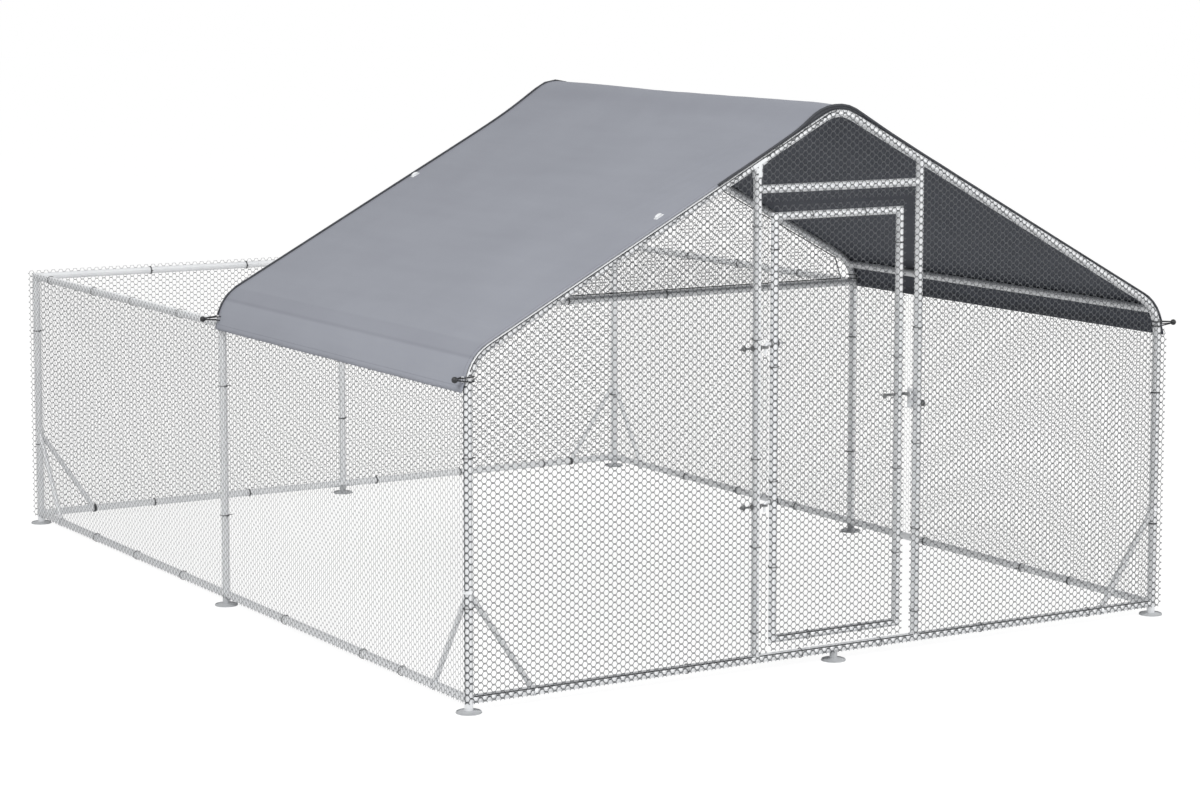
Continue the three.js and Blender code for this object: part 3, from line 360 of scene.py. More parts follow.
def cloth_finish(name, colour, dark_marks_and_shade, roughness):
    finish = Finish(name, colour, roughness, specular=0.35)
    flat = finish.node("ShaderNodeUVMap")
    warp = finish.node("ShaderNodeTexWave", {"bands_direction": "X"}, {"Vector": flat, "Scale": 160.0})
    weft = finish.node("ShaderNodeTexWave", {"bands_direction": "Y"}, {"Vector": flat, "Scale": 160.0})
    weave = warp * weft
    slow = finish.noise(2.2, 4.0, flat)
    stretched = finish.node("ShaderNodeMapping", None, {"Vector": flat, "Scale": (9.0, 1.1, 1.0)})
    creased = finish.noise(1.6, 3.0, stretched)
    across = finish.node("ShaderNodeSeparateXYZ", None, {0: flat})
    along = finish.node("ShaderNodeSeparateXYZ", None, {0: flat}, "Y")
    apart = across.math("ABSOLUTE")
    # Painted shade: a darker band in the eave's bend, darkest at the crease, and a paler hem below it. A
    # darker band near the ridge is added as well.
    bend = apart.between(SLOPE_TO, SLOPE_TO + 0.015) - apart.between(CREASE - 0.010, CREASE + 0.012)
    fold_shade_and_ridge_band = bend * 0.13 + apart.near(CREASE, 0.012) * 0.24 + apart.near(0.10, 0.09) * 0.12
    fold_shade_and_ridge_band = fold_shade_and_ridge_band - apart.between(CREASE, CREASE + 0.016) * 0.03
    from_hem = COVER_HALF - apart
    from_end = (COVER_LENGTH / 2 - (along - COVER_LENGTH / 2).math("ABSOLUTE")).math("MINIMUM", from_hem)
    doubled = 1 - from_end.between(HEM_WIDTH - 0.001, HEM_WIDTH + 0.001)
    dashes = (across + along).math("MULTIPLY", 125.0).math("FRACT").near(0.35, 0.38)
    stitches = from_end.near(HEM_WIDTH - 0.004, 0.0018) * dashes
    share = fold_shade_and_ridge_band + 0.18 + (slow - 0.5) * 0.36 + (creased - 0.5) * 0.22
    share = share + weave * 0.06 + stitches * 1.4 + doubled * 0.06
    finish.set("Base Color", finish.mix(share.math("MAXIMUM", 0.0), (*colour, 1), (*dark_marks_and_shade, 1)))
    finish.set("Roughness", roughness + slow * 0.12)
    finish.bump(weave * 0.10 + creased * 2.2 + slow * 1.2 + doubled * 0.5 - stitches * 0.4, 0.0022, 0.55)
    return finish


cover_outside = cloth_finish("cover_cloth_outside", rgb(157, 160, 169), rgb(124, 126, 135), 0.72)
# The inside is darker: partly a darker coating on the cloth, partly painted shade for the underside of the
# roof.
inside_coating_and_shade = cloth_finish("cover_cloth_inside_coating_and_shade", rgb(88, 91, 99), rgb(64, 66, 73), 0.8)
cover_binding = moulded_finish("cover_binding", rgb(58, 60, 65), rgb(74, 76, 81), 0.7)
print("made", cover_outside.material.name, "and", inside_coating_and_shade.material.name)

# %% [markdown]
# ## The finishes on the measured pieces
# The tubes, feet and bolts already have their shape in the measured frame. They only need
# their finish, which goes into the material slots of each node. The feet get a greyer colour
# than the tee, partly their plastic and partly painted shade, and the keeper of the latch is
# galvanised like the tubes.

# %% Finishes on the measured pieces
slots = {part["node"]: part["material_slot"] for part in frame["record"]["subparts"]}
slot_finish = {"tube": galvanised, "plastic": white_plastic, "hardware": plated}
own_finish = {name: foot_plastic_and_shade for name in frame["nodes"] if name.endswith("_foot")}
own_finish["latch_keeper"] = galvanised
for name, node in frame["nodes"].items():
    finish = own_finish.get(name) or slot_finish.get(slots[name])
    if finish:
        node.data.materials.clear()
        node.data.materials.append(finish.material)
print("finished", sum(slots[name] in slot_finish for name in frame["nodes"]), "measured pieces")


# %% [markdown]
# ## Wire and cord along a path
# Many pieces are wire or cord of one thickness. A ring is drawn at the first point of the
# path and extruded to each next one. At a bend the ring stands in the mitre between the two
# directions, and is stretched there, so that the wire keeps its thickness.

# %% The rings of a path
def mitres(path, closed=False):
    """The place, turn and stretch of the ring at each point of a path."""
    count = len(path)
    mitred = []
    turned = None
    for k, point in enumerate(path):
        before = path[k - 1] if (closed or k > 0) else point * 2 - path[k + 1]
        after = path[(k + 1) % count] if (closed or k < count - 1) else point * 2 - path[k - 1]
        arriving = (point - before).normalized()
        leaving = (after - point).normalized()
        along = (arriving + leaving).normalized()
        if turned is None:
            turned = Vector((0, 0, 1)).rotation_difference(along)
        else:
            turned = (turned @ Vector((0, 0, 1))).rotation_difference(along) @ turned
        bend = leaving - arriving
        half = arriving.angle(leaving) / 2
        stretch = Matrix.Identity(4)
        if bend.length > 1e-6:
            stretch = Matrix.Scale(1 / math.cos(half), 4, bend.normalized())
        mitred.append(Matrix.Translation(point) @ stretch @ turned.to_matrix().to_4x4())
    return mitred


def extrude_rings(bm, places, radius, sides):
    """The wall of a wire through rings at places. Gives the edges of its two ends."""
    made = bmesh.ops.create_circle(bm, segments=sides, radius=radius, matrix=places[0])
    start = list({edge for vert in made["verts"] for edge in vert.link_edges})
    edges = start
    for last, here in zip(places, places[1:]):
        grown = bmesh.ops.extrude_edge_only(bm, edges=edges)["geom"]
        verts = [part for part in grown if isinstance(part, bmesh.types.BMVert)]
        bmesh.ops.transform(bm, matrix=here @ last.inverted(), verts=verts)
        grown_edges = [part for part in grown if isinstance(part, bmesh.types.BMEdge)]
        edges = [edge for edge in grown_edges if all(vert in verts for vert in edge.verts)]
    return start, edges


def wire_along(bm, path, radius, sides=8, closed=False):
    """A whole wire or cord along a path, closed at its ends or joined into a loop."""
    start, end = extrude_rings(bm, mitres(path, closed), radius, sides)
    if closed:
        bmesh.ops.bridge_loops(bm, edges=start + end)
    else:
        for edges in (start, end):
            bmesh.ops.holes_fill(bm, edges=edges, sides=sides)


# %% Turn a bmesh into a piece
def piece_of(name, bm, finishes, body="pen", smooth=False, outward=True):
    """Turns a finished bmesh into a piece that rides on a body."""
    if outward:
        bmesh.ops.recalc_face_normals(bm, faces=bm.faces)
    for face in bm.faces:
        face.smooth = smooth
    mesh = bpy.data.meshes.new(name)
    bm.to_mesh(mesh)
    bm.free()
    for finish in finishes:
        mesh.materials.append(finish.material)
    piece = bpy.data.objects.new(name, mesh)
    scene.collection.objects.link(piece)
    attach(piece, body)
    print(name, len(mesh.polygons), "faces")
    return piece


# %% [markdown]
# ## Hexagonal netting
# Two wires are twisted together along the flat side of each hexagon and part again at its
# ends. One period of two neighbouring wires is enough: repeated sideways it makes one row,
# and repeated upwards a whole wall. A wire of three sides is round enough at this size, and
# keeps some forty thousand hexagons light. The front and the door, which get the most
# wear, have the heaviest wire, the back and the gable a lighter one, and the long sides the
# lightest.

# %% A sheet of netting
CELL_WIDTH = 0.0337
CELL_HEIGHT = 0.0253
TWIST = 0.0120
HEAVY = (0.00130, 0.00155)
MEDIUM = (0.00095, 0.00110)
LIGHT = (0.00066, 0.00115)


def repeat(bm, step, times):
    """Copies everything times over, each copy one step further."""
    geom = bm.verts[:] + bm.edges[:] + bm.faces[:]
    bmesh.ops.spin(bm, geom=geom, dvec=step, steps=times, angle=0, use_duplicate=True)


def net_sheet(width, height, gauge):
    """Netting in the plane of X and Z, from 0 to a width and a height at least."""
    half, rise = CELL_WIDTH / 2, CELL_HEIGHT / 2
    wire_r, apart = gauge
    bm = bmesh.new()
    for low, high, bottom in ((apart, rise - apart, 0), (rise - apart, apart, rise)):
        stops = [(-half + TWIST / 2, high), (-TWIST / 2, low), (TWIST / 2, low), (half - TWIST / 2, high),
                 (half + TWIST / 2, high), (CELL_WIDTH - TWIST / 2, low), (CELL_WIDTH + TWIST / 2, low)]
        path = [Vector((x, 0, bottom + z)) for x, z in stops]
        extrude_rings(bm, mitres(path)[1:-1], wire_r, 3)
    repeat(bm, (CELL_WIDTH, 0, 0), math.ceil(width / CELL_WIDTH))
    bmesh.ops.remove_doubles(bm, verts=bm.verts, dist=1e-5)
    bmesh.ops.recalc_face_normals(bm, faces=bm.faces)
    repeat(bm, (0, 0, CELL_HEIGHT), math.ceil(height / CELL_HEIGHT))
    return bm


# %% [markdown]
# ## Cutting the netting to its walls
# A wall of netting is cut along its outline. Each side of the outline is a plane that cuts
# the wires and clears what lies outside, and the cut ends are closed. The sheet is drawn
# flat, bent where its edge goes round a tube, and then turned into its wall.

# %% Cutting the netting to its walls
def trimmed_net(outline, gauge):
    """Netting inside a convex outline of (across, up) points."""
    low = [min(point[axis] for point in outline) for axis in (0, 1)]
    high = [max(point[axis] for point in outline) for axis in (0, 1)]
    columns = math.floor(low[0] / CELL_WIDTH) - 1
    rows = math.floor(low[1] / CELL_HEIGHT) - 1
    corner = (columns * CELL_WIDTH, rows * CELL_HEIGHT)
    bm = net_sheet(high[0] - corner[0] + CELL_WIDTH, high[1] - corner[1] + CELL_HEIGHT, gauge)
    bmesh.ops.translate(bm, verts=bm.verts, vec=(corner[0], 0, corner[1]))
    middle = Vector((sum(p[0] for p in outline), 0, sum(p[1] for p in outline))) / len(outline)
    for here, after in zip(outline, outline[1:] + outline[:1]):
        start, end = Vector((here[0], 0, here[1])), Vector((after[0], 0, after[1]))
        outward = (end - start).cross(Vector((0, 1, 0))).normalized()
        if outward.dot(middle - start) > 0:
            outward.negate()
        geom = bm.verts[:] + bm.edges[:] + bm.faces[:]
        bmesh.ops.bisect_plane(bm, geom=geom, dist=1e-6, plane_co=start, plane_no=outward, clear_outer=True)
    cut_ends = [edge for edge in bm.edges if edge.is_boundary]
    bmesh.ops.holes_fill(bm, edges=cut_ends, sides=12)
    return bm


def bent_back(bm, line_x, radius):
    """Bends what lies left of a line round the tube whose centre line it is."""
    for vert in bm.verts:
        past = line_x - vert.co.x
        if past > 0:
            angle = past / radius
            away = radius - vert.co.y
            vert.co.x = line_x - away * math.sin(angle)
            vert.co.y = radius - away * math.cos(angle)


def stand_net(name, outline, place, node, gauge, turn=0.0, body="pen", bend_at=None):
    """A panel of netting in its wall. bend_at is the tube, across, and its radius."""
    bm = trimmed_net(outline, gauge)
    if bend_at:
        bent_back(bm, *bend_at)
    matrix = Matrix.Translation(place) @ Matrix.Rotation(turn, 4, "Z")
    bmesh.ops.transform(bm, matrix=matrix, verts=bm.verts)
    piece = piece_of(name, bm, [net_wire], body, outward=False)
    if node:
        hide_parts(node)


# %% [markdown]
# ## The edge of a panel under the roof
# A panel of the gables ends on the tube of its arch. Its outline there is the arch itself,
# a little outside the centre line: straight up the slope, and round the two bends in short
# steps, which a plane can cut one by one because the outline is convex.

# %% Points along an arch
def arch_points(from_x, to_x, out_by):
    """Points on the arch, out_by outside its centre line, from one place across to another."""
    bends = ((-(HALF_WIDTH - ELBOW_R), ELBOW_FOOT, ELBOW_R, math.pi, math.pi / 2 + SLOPE),
             (0, APEX_Z - APEX_R, APEX_R, math.pi / 2 + SLOPE, math.pi / 2 - SLOPE),
             (HALF_WIDTH - ELBOW_R, ELBOW_FOOT, ELBOW_R, math.pi / 2 - SLOPE, 0))
    points = []
    for x, z, radius, start, end in bends:
        for step in range(7):
            angle = start + (end - start) * step / 6
            points.append((x + (radius + out_by) * math.cos(angle), z + (radius + out_by) * math.sin(angle)))
    inside = [point for point in points if from_x < point[0] < to_x]
    rise = out_by / math.cos(SLOPE)
    ends = [(x, rafter_z(x) + rise) for x in (from_x, to_x)]
    before = [] if from_x < -BEND_X else ends[:1]
    after = [] if to_x > BEND_X else ends[1:]
    return before + inside + after


BEND_X = HALF_WIDTH - ELBOW_LENGTH * math.cos(SLOPE)
print("points on the whole arch:", len(arch_points(-2, 2, 0.0)))

# %% [markdown]
# ## The walls
# Each panel goes right across the tubes that carry it. On the latch side of the doorway it
# stands out past the jamb, and the leaf's own netting past its frame, so that no hen gets
# through the gap round the leaf. On the hinge side the leaf's netting is bent back round
# the stile, to leave the door free to swing, and the gap has narrow strips, open at the
# hinges. The front right panel, and the back one at its left, also stick out past the
# corner post, and the front left one is wrapped round its post. A strip of netting lies on
# the sill under the door.

# %% Netting of the front and the middle gable
NET_OUT, LEAF_NET_OUT = TUBE_R + 0.0013, LEAF_TUBE_R + 0.0013
SILL_LAP = 0.014
NET_FOOT, NET_TOP = SILL_Z - SILL_LAP, RAIL_Z + 0.015
LEFT_EDGE, RIGHT_EDGE = 0.0088, 0.0145
POST_WRAP, POST_LAP = 0.030, 0.034
JAMB_LAP, LATCH_LAP = 0.004, 0.038
GABLE_HANG, GABLE_INSET, GABLE_LAP = 0.045, 0.045, 0.012
below_elbow = ELBOW_FOOT - 0.020
left_end, right_end = -HALF_WIDTH - POST_WRAP, HALF_WIDTH + POST_LAP
jamb_edge, latch_edge = LEFT_JAMB_X + JAMB_LAP, RIGHT_JAMB_X - LATCH_LAP
front = (0, FRONT_Y - NET_OUT, 0)


def upright(left, low, right, high):
    """The outline of an upright rectangle."""
    return [(left, low), (right, low), (right, high), (left, high)]


stand_net("front_left_netting", [
    (left_end, NET_FOOT), (jamb_edge, NET_FOOT),
    *reversed(arch_points(-HALF_WIDTH, jamb_edge, LEFT_EDGE)), (left_end, below_elbow)],
    front, "front_left_net", HEAVY, bend_at=(-HALF_WIDTH, NET_OUT))
stand_net("front_right_netting", [
    (latch_edge, NET_FOOT), (right_end, NET_FOOT), (right_end, below_elbow),
    *reversed(arch_points(latch_edge, HALF_WIDTH, RIGHT_EDGE))], front, "front_right_net", HEAVY)
stand_net("front_gable_netting", [
    (jamb_edge, LINTEL_Z - GABLE_HANG), (latch_edge, LINTEL_Z - GABLE_HANG),
    *reversed(arch_points(jamb_edge, latch_edge, RIGHT_EDGE))], front, "front_gable_net", HEAVY)
stand_net("threshold_netting", upright(jamb_edge, NET_FOOT, latch_edge, SILL_Z + SILL_LAP),
          front, None, HEAVY)
stand_net("middle_gable_netting", [
    (-HALF_WIDTH + GABLE_INSET, RAIL_Z - GABLE_LAP), (HALF_WIDTH - GABLE_INSET, RAIL_Z - GABLE_LAP),
    *reversed(arch_points(-BEND_X, BEND_X, 0.0))], (0, MIDDLE_Y + NET_OUT, 0), "middle_gable_net", MEDIUM)

# %% Netting of the door and of the gap at its hinges
LEAF_WRAP, LEAF_LAP = 0.026, 0.018
HINGE_ROOM = 0.028
leaf_low, leaf_high = LEAF_BOTTOM - 0.041, LEAF_TOP + 0.039
gap_left, gap_right = LEFT_JAMB_X + TUBE_R - 0.001, LEFT_STILE_X - LEAF_TUBE_R - 0.007
lower_hinge, upper_hinge = HINGE_HEIGHTS
for word, low, high in (("low", SILL_Z + TUBE_R, lower_hinge - HINGE_ROOM),
                        ("middle", lower_hinge + HINGE_ROOM, upper_hinge - HINGE_ROOM),
                        ("high", upper_hinge + HINGE_ROOM, leaf_high)):
    stand_net(f"hinge_gap_netting_{word}", upright(gap_left, low, gap_right, high),
              (0, FRONT_Y + 0.002, 0), None, HEAVY)
stand_net("door_netting", upright(LEFT_STILE_X - LEAF_WRAP, leaf_low, RIGHT_STILE_X + LEAF_LAP, leaf_high),
          (0, FRONT_Y - LEAF_NET_OUT, 0), "door_net", HEAVY, body="door",
          bend_at=(LEFT_STILE_X, LEAF_NET_OUT))

# %% Netting of the back and the two sides
BACK_TOP = RAIL_Z + 0.025
BACK_LEFT_LAP, BACK_RIGHT_LAP = 0.030, 0.020
SIDE_LAP = 0.013
for word, start, end in (("left", -HALF_WIDTH - BACK_LEFT_LAP, 0), ("right", 0, HALF_WIDTH + BACK_RIGHT_LAP)):
    stand_net(f"back_{word}_netting", upright(start, NET_FOOT, end, BACK_TOP),
              (0, BACK_Y + NET_OUT, 0), "back_net", MEDIUM)
for word, side in (("left", -1), ("right", 1)):
    for half, start, end in (("front", FRONT_Y - SIDE_LAP, MIDDLE_Y), ("back", MIDDLE_Y, BACK_Y + SIDE_LAP)):
        stand_net(f"{word}_{half}_netting", upright(start, NET_FOOT, end, NET_TOP),
                  (side * (HALF_WIDTH + NET_OUT), 0, 0), f"{word}_net", LIGHT, math.pi / 2)


# %% [markdown]
# ## Wire ties of the netting
# The netting is fastened with short pieces of darker wire. Each is wound one and a half
# times round the tube and the netting on it, and its ends are twisted together inside. The tie
# is one path: a screw line round the tube, and then a twisted tail.

# %% One wire tie
TIE_R, TAIL_R = 0.0011, 0.0009
TIE_OUT = 0.0026
TIE_PITCH = 0.0030
TAIL_STEP = 0.0026


def wire_tie(bm, centre, axis, outward, tube_r=TUBE_R):
    """A tie round a tube at centre. outward is the side where the netting lies."""
    side = axis.cross(outward)
    middle = centre + outward * TIE_R
    loop_r = tube_r + TIE_OUT
    path = []
    for step in range(19):
        angle = math.pi / 2 + math.tau * step / 12
        ring = outward * math.cos(angle) + side * math.sin(angle)
        path.append(middle + ring * loop_r + axis * TIE_PITCH * (step / 12 - 0.75))
    wire_along(bm, path, TIE_R, 5)
    root = middle - outward * (loop_r - 0.001)
    for start in (0.0, math.pi):
        tail = []
        for step in range(7):
            angle = start + step * 1.1
            apart = axis * math.cos(angle) + side * math.sin(angle)
            tail.append(root - outward * TAIL_STEP * step + apart * TIE_R)
        wire_along(bm, tail, TAIL_R, 4)


# %% The ties of each wall
X_AXIS, Y_AXIS, Z_AXIS = Vector((1, 0, 0)), Vector((0, 1, 0)), Vector((0, 0, 1))
POST_HEIGHTS = (0.355, 0.860)
JAMB_HEIGHTS = (0.142, 0.447, 0.760, 1.181)
LEFT_JAMB_TOP_TIE = 1.576
FRONT_SILL_PLACES = (-0.625, -0.147, 0.200, 0.659, 1.168)
BACK_PLACES = (-0.947, -0.480, 0.173, 0.62, 1.08)
SIDE_SILL_PLACES = (-1.508, -1.206, -0.557, 0.401, 0.88, 1.325)
SIDE_RAIL_PLACES = (0.396, 0.880, 1.302, 1.807)
TIE_BAR_PLACES = (-0.95, -0.43, 0.05, 0.524, 0.98)
front_ties = [(Vector((x, FRONT_Y, SILL_Z)), X_AXIS, -Y_AXIS) for x in FRONT_SILL_PLACES]
for x in (LEFT_JAMB_X, RIGHT_JAMB_X):
    front_ties += [(Vector((x, FRONT_Y, z)), Z_AXIS, -Y_AXIS) for z in JAMB_HEIGHTS]
front_ties.append((Vector((LEFT_JAMB_X, FRONT_Y, LEFT_JAMB_TOP_TIE)), Z_AXIS, -Y_AXIS))
corner_ties = [(Vector((side * HALF_WIDTH, y, z)), Z_AXIS, X_AXIS * side)
               for side in (-1, 1) for y in (FRONT_Y, MIDDLE_Y, BACK_Y) for z in POST_HEIGHTS]
back_ties = [(Vector((x, BACK_Y, z)), X_AXIS, Y_AXIS) for z in (SILL_Z, RAIL_Z) for x in BACK_PLACES]
back_ties += [(Vector((0, BACK_Y, z)), Z_AXIS, Y_AXIS) for z in POST_HEIGHTS]
side_ties = [(Vector((side * HALF_WIDTH, y, z)), Y_AXIS, X_AXIS * side)
             for side in (-1, 1)
             for z, places in ((SILL_Z, SIDE_SILL_PLACES), (RAIL_Z, SIDE_RAIL_PLACES))
             for y in places]
middle_ties = [(Vector((x, MIDDLE_Y, RAIL_Z)), X_AXIS, Y_AXIS) for x in TIE_BAR_PLACES]
for name, ties in (("front", front_ties), ("corner", corner_ties), ("back", back_ties), ("side", side_ties),
                   ("middle", middle_ties)):
    bm = bmesh.new()
    for centre, axis, outward in ties:
        wire_tie(bm, centre, axis, outward)
    piece_of(f"{name}_wire_ties", bm, [tie_wire], smooth=True)

# %% The ties of the door
LEAF_RAIL_PLACES = (-0.116, 0.112)
STILE_HEIGHTS = (0.368, 0.675, 1.080, 1.493)
bm = bmesh.new()
for z in (LEAF_BOTTOM, LEAF_TOP):
    for x in LEAF_RAIL_PLACES:
        wire_tie(bm, Vector((x, FRONT_Y, z)), X_AXIS, -Y_AXIS, LEAF_TUBE_R)
for x in (LEFT_STILE_X, RIGHT_STILE_X):
    for z in STILE_HEIGHTS:
        wire_tie(bm, Vector((x, FRONT_Y, z)), Z_AXIS, -Y_AXIS, LEAF_TUBE_R)
piece_of("door_wire_ties", bm, [tie_wire], "door", smooth=True)

# %% [markdown]
# ## Selvedge wires of the front
# The front panels end in a thicker dark wire, the selvedge. It runs up the left rafter, and
# along the top of the sill and of the door's bottom rail, where the netting is folded over
# the tube.

# %% Selvedge wires of the front
SELVEDGE_R = 0.0017
edge_y = FRONT_Y - NET_OUT - 0.0006
sill_front, sill_top = FRONT_Y - 0.0130, SILL_Z + 0.0108
rail_front, rail_top = FRONT_Y - 0.0120, LEAF_BOTTOM + 0.0102
bm = bmesh.new()
rafter_edge = arch_points(-HALF_WIDTH, -0.02, LEFT_EDGE)
wire_along(bm, [Vector((x, edge_y, z)) for x, z in rafter_edge], SELVEDGE_R, 6)
for start, end in ((-HALF_WIDTH, LEFT_JAMB_X), (LEFT_JAMB_X, RIGHT_JAMB_X), (RIGHT_JAMB_X, HALF_WIDTH)):
    span = (start + TUBE_R, (start + end) / 2, end - TUBE_R)
    wire_along(bm, [Vector((x, sill_front, sill_top)) for x in span], SELVEDGE_R, 6)
piece_of("front_selvedge", bm, [tie_wire], smooth=True)
bm = bmesh.new()
span = (LEFT_STILE_X + LEAF_TUBE_R, 0, RIGHT_STILE_X - LEAF_TUBE_R)
wire_along(bm, [Vector((x, rail_front, rail_top)) for x in span], SELVEDGE_R, 6)
piece_of("door_selvedge", bm, [tie_wire], "door", smooth=True)

# %% [markdown]
# ## The border of the middle gable
# The netting between the roofed half and the open half fills a triangle. A thicker dark
# wire runs round it, just inside the tubes, and keeps its cut edge straight.

# %% Border wire of the middle gable
BORDER_R = 0.0022
INSIDE = TUBE_R + 0.0026
BEND_DROP = 0.004
inside_drop = INSIDE / math.cos(SLOPE)
foot_x, bend_x, top_x = HALF_WIDTH - 0.060, BEND_X - 0.012, 0.05
bend_z = rafter_z(BEND_X) - inside_drop + BEND_DROP
top_z = rafter_z(top_x) - inside_drop - BEND_DROP
border = [(-foot_x, RAIL_Z + INSIDE), (foot_x, RAIL_Z + INSIDE), (bend_x, bend_z),
          (top_x, top_z), (-top_x, top_z), (-bend_x, bend_z)]
bm = bmesh.new()
wire_along(bm, [Vector((x, MIDDLE_Y + 0.008, z)) for x, z in border], BORDER_R, 8, closed=True)
piece_of("middle_gable_border", bm, [tie_wire], smooth=True)


# %% [markdown]
# ## The cover
# The cover starts as a flat cloth of its cut size and is laid over the roof: how far a
# point is from the ridge, measured along the cloth, tells where it comes to lie on the
# arch. Between the two gables nothing but the ridge and eave tubes holds it, so it sags a
# little there, and it is pushed out at the hem, where the side netting lies under it. It is
# cut a little too wide for the bend of the ridge, so it bridges it and stands off there,
# most at the rear, with one loose bulge beside the front apex.

# %% Where the cloth lies on the arch
COVER_OUT = 0.0161
COVER_FRONT_Y = FRONT_Y - 0.010


def on_arch(across, out_by=COVER_OUT):
    """The place (x, z) and the way out (x, z) of the cloth at a distance from the ridge."""
    side = -1 if across < 0 else 1
    far = abs(across)
    apex_r, elbow_r = APEX_R + out_by, ELBOW_R + out_by
    if far < SLOPE_FROM:
        angle = far / SLOPE_FROM * SLOPE
        out = Vector((math.sin(angle), math.cos(angle)))
        spot = Vector((0, APEX_Z - APEX_R)) + out * apex_r
    elif far < SLOPE_TO:
        out = Vector((math.sin(SLOPE), math.cos(SLOPE)))
        down = Vector((math.cos(SLOPE), -math.sin(SLOPE)))
        spot = Vector((0, APEX_Z - APEX_R)) + out * apex_r + down * (far - SLOPE_FROM)
    else:
        turn = min((far - SLOPE_TO) / (ELBOW_R + COVER_OUT), math.pi / 2 - SLOPE)
        angle = math.pi / 2 - SLOPE - turn
        out = Vector((math.cos(angle), math.sin(angle)))
        spot = Vector((HALF_WIDTH - ELBOW_R, ELBOW_FOOT)) + out * elbow_r
        spot.y -= max(0.0, far - SLOPE_TO - (ELBOW_R + COVER_OUT) * (math.pi / 2 - SLOPE))
    return Vector((side * spot.x, spot.y)), Vector((side * out.x, out.y))


# %% How the cloth leaves the arch
SAG, FLARE_START, FLARE, HEM_WAVE = 0.012, 0.0022, 0.0075, 0.0022
PUCKER, DRAG, BULGE = 0.0045, 0.0020, 0.010
RIDGE_RISE, FRONT_RISE, REAR_RISE = 0.009, 0.0055, 0.0075


def smooth_step(value, low, high):
    share = min(1.0, max(0.0, (value - low) / (high - low)))
    return share * share * (3 - 2 * share)


def cover_lift(across, along):
    """How far the cloth stands off the arch, in metres: sag, flare and creases."""
    far = abs(across)
    down = min(1.0, max(0.0, (far - SLOPE_FROM) / (SLOPE_TO - SLOPE_FROM)))
    slack = math.sin(math.pi * along / COVER_LENGTH) ** 2
    sag = -SAG * math.sin(math.pi * down) * slack
    hem = smooth_step(far, 1.745, 1.775)
    flare = FLARE_START * smooth_step(far, 1.715, 1.757) + FLARE * smooth_step(far, 1.757, COVER_HALF)
    wave = HEM_WAVE * hem * (1 - math.cos(math.tau * 4 * along / COVER_LENGTH)) / 2
    ridge = math.exp(-((far - 0.16) / 0.10) ** 2) * slack
    pucker = PUCKER * ridge * math.sin(along * 23 + far * 31) * math.sin(along * 9.5 + 1.3)
    front_pull = math.exp(-((along - 0.22) / 0.16) ** 2 - ((far - 0.55) / 0.34) ** 2)
    drag = DRAG * front_pull * math.sin((along * 2.2 - far) * 34)
    rise = RIDGE_RISE + FRONT_RISE * smooth_step(along, 0, 0.2) + REAR_RISE * smooth_step(along, 1.1, 1.8)
    bridged = rise * math.exp(-(far / 0.19) ** 2)
    bulge = BULGE * math.exp(-((across + 0.10) / 0.06) ** 2) * (1 - smooth_step(along, 0.02, 0.30))
    return sag + flare + wave + pucker + drag + bridged + bulge


# %% Lay the cloth over the roof
bm = bmesh.new()
bmesh.ops.create_grid(bm, x_segments=236, y_segments=120, size=1)
bmesh.ops.scale(bm, verts=bm.verts, vec=(COVER_HALF, COVER_LENGTH / 2, 1))
bmesh.ops.translate(bm, verts=bm.verts, vec=(0, COVER_LENGTH / 2, 0))
flat_cloth = bm.loops.layers.uv.new("flat_cloth")
for face in bm.faces:
    for loop in face.loops:
        loop[flat_cloth].uv = loop.vert.co.xy
for vert in bm.verts:
    across, along = vert.co.x, vert.co.y
    spot, out = on_arch(across)
    spot += out * cover_lift(across, along)
    vert.co = (spot.x, COVER_FRONT_Y + along, spot.y)
bmesh.ops.recalc_face_normals(bm, faces=bm.faces)
if sum(face.normal.z for face in bm.faces) < 0:
    bmesh.ops.reverse_faces(bm, faces=bm.faces)
cover = piece_of("cover_cloth", bm, [cover_outside, inside_coating_and_shade], smooth=True, outward=False)
thick = cover.modifiers.new("thickness", "SOLIDIFY")
thick.thickness = 0.0012
thick.offset = 0
thick.material_offset = 1
thick.material_offset_rim = 0
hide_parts("cover")

# %% [markdown]
# ## Binding on the gable edges
# The two gable edges of the cover are bound with dark tape over a thin cord, which shows
# as a dark line round the roof. On the front it starts a third of the way down the left
# slope, where the edge is tucked in behind the rafter, and gets thinner down the right
# slope. A strip of the same tape closes the gap under the bulge beside the apex.

# %% Binding on the gable edges
def across_at(x):
    """How far from the ridge, along the cloth, a point of the slope is."""
    start = (APEX_R + COVER_OUT) * math.sin(SLOPE)
    return math.copysign(SLOPE_FROM + (abs(x) - start) / math.cos(SLOPE), x)


def on_edge(across, along, out_by):
    """A point out_by outside the cloth, at one of its gable edges."""
    spot, out = on_arch(across)
    spot += out * (cover_lift(across, along) + out_by)
    return Vector((spot.x, COVER_FRONT_Y + along, spot.y))


BINDING_R = 0.0046
BINDING_OUT, BINDING_SUNK = 0.0030, 0.0006
BINDING_START, BINDING_END = across_at(-0.508), 1.735
BINDING_STEPS = 80
for word, along, first in (("front", 0, BINDING_START), ("rear", COVER_LENGTH, -BINDING_END)):
    shares, path = [], []
    for step in range(BINDING_STEPS + 1):
        across = first + (BINDING_END - first) * step / BINDING_STEPS
        share = 1 - 0.35 * smooth_step(across, 0.1, 1.2)
        path.append(on_edge(across, along, BINDING_OUT * share - BINDING_SUNK))
        shares.append(share)
    rings = [ring @ Matrix.Scale(share, 4) for ring, share in zip(mitres(path), shares)]
    bm = bmesh.new()
    for edges in extrude_rings(bm, rings, BINDING_R, 8):
        bmesh.ops.holes_fill(bm, edges=edges, sides=8)
    piece_of(f"cover_{word}_binding", bm, [cover_binding], smooth=True)

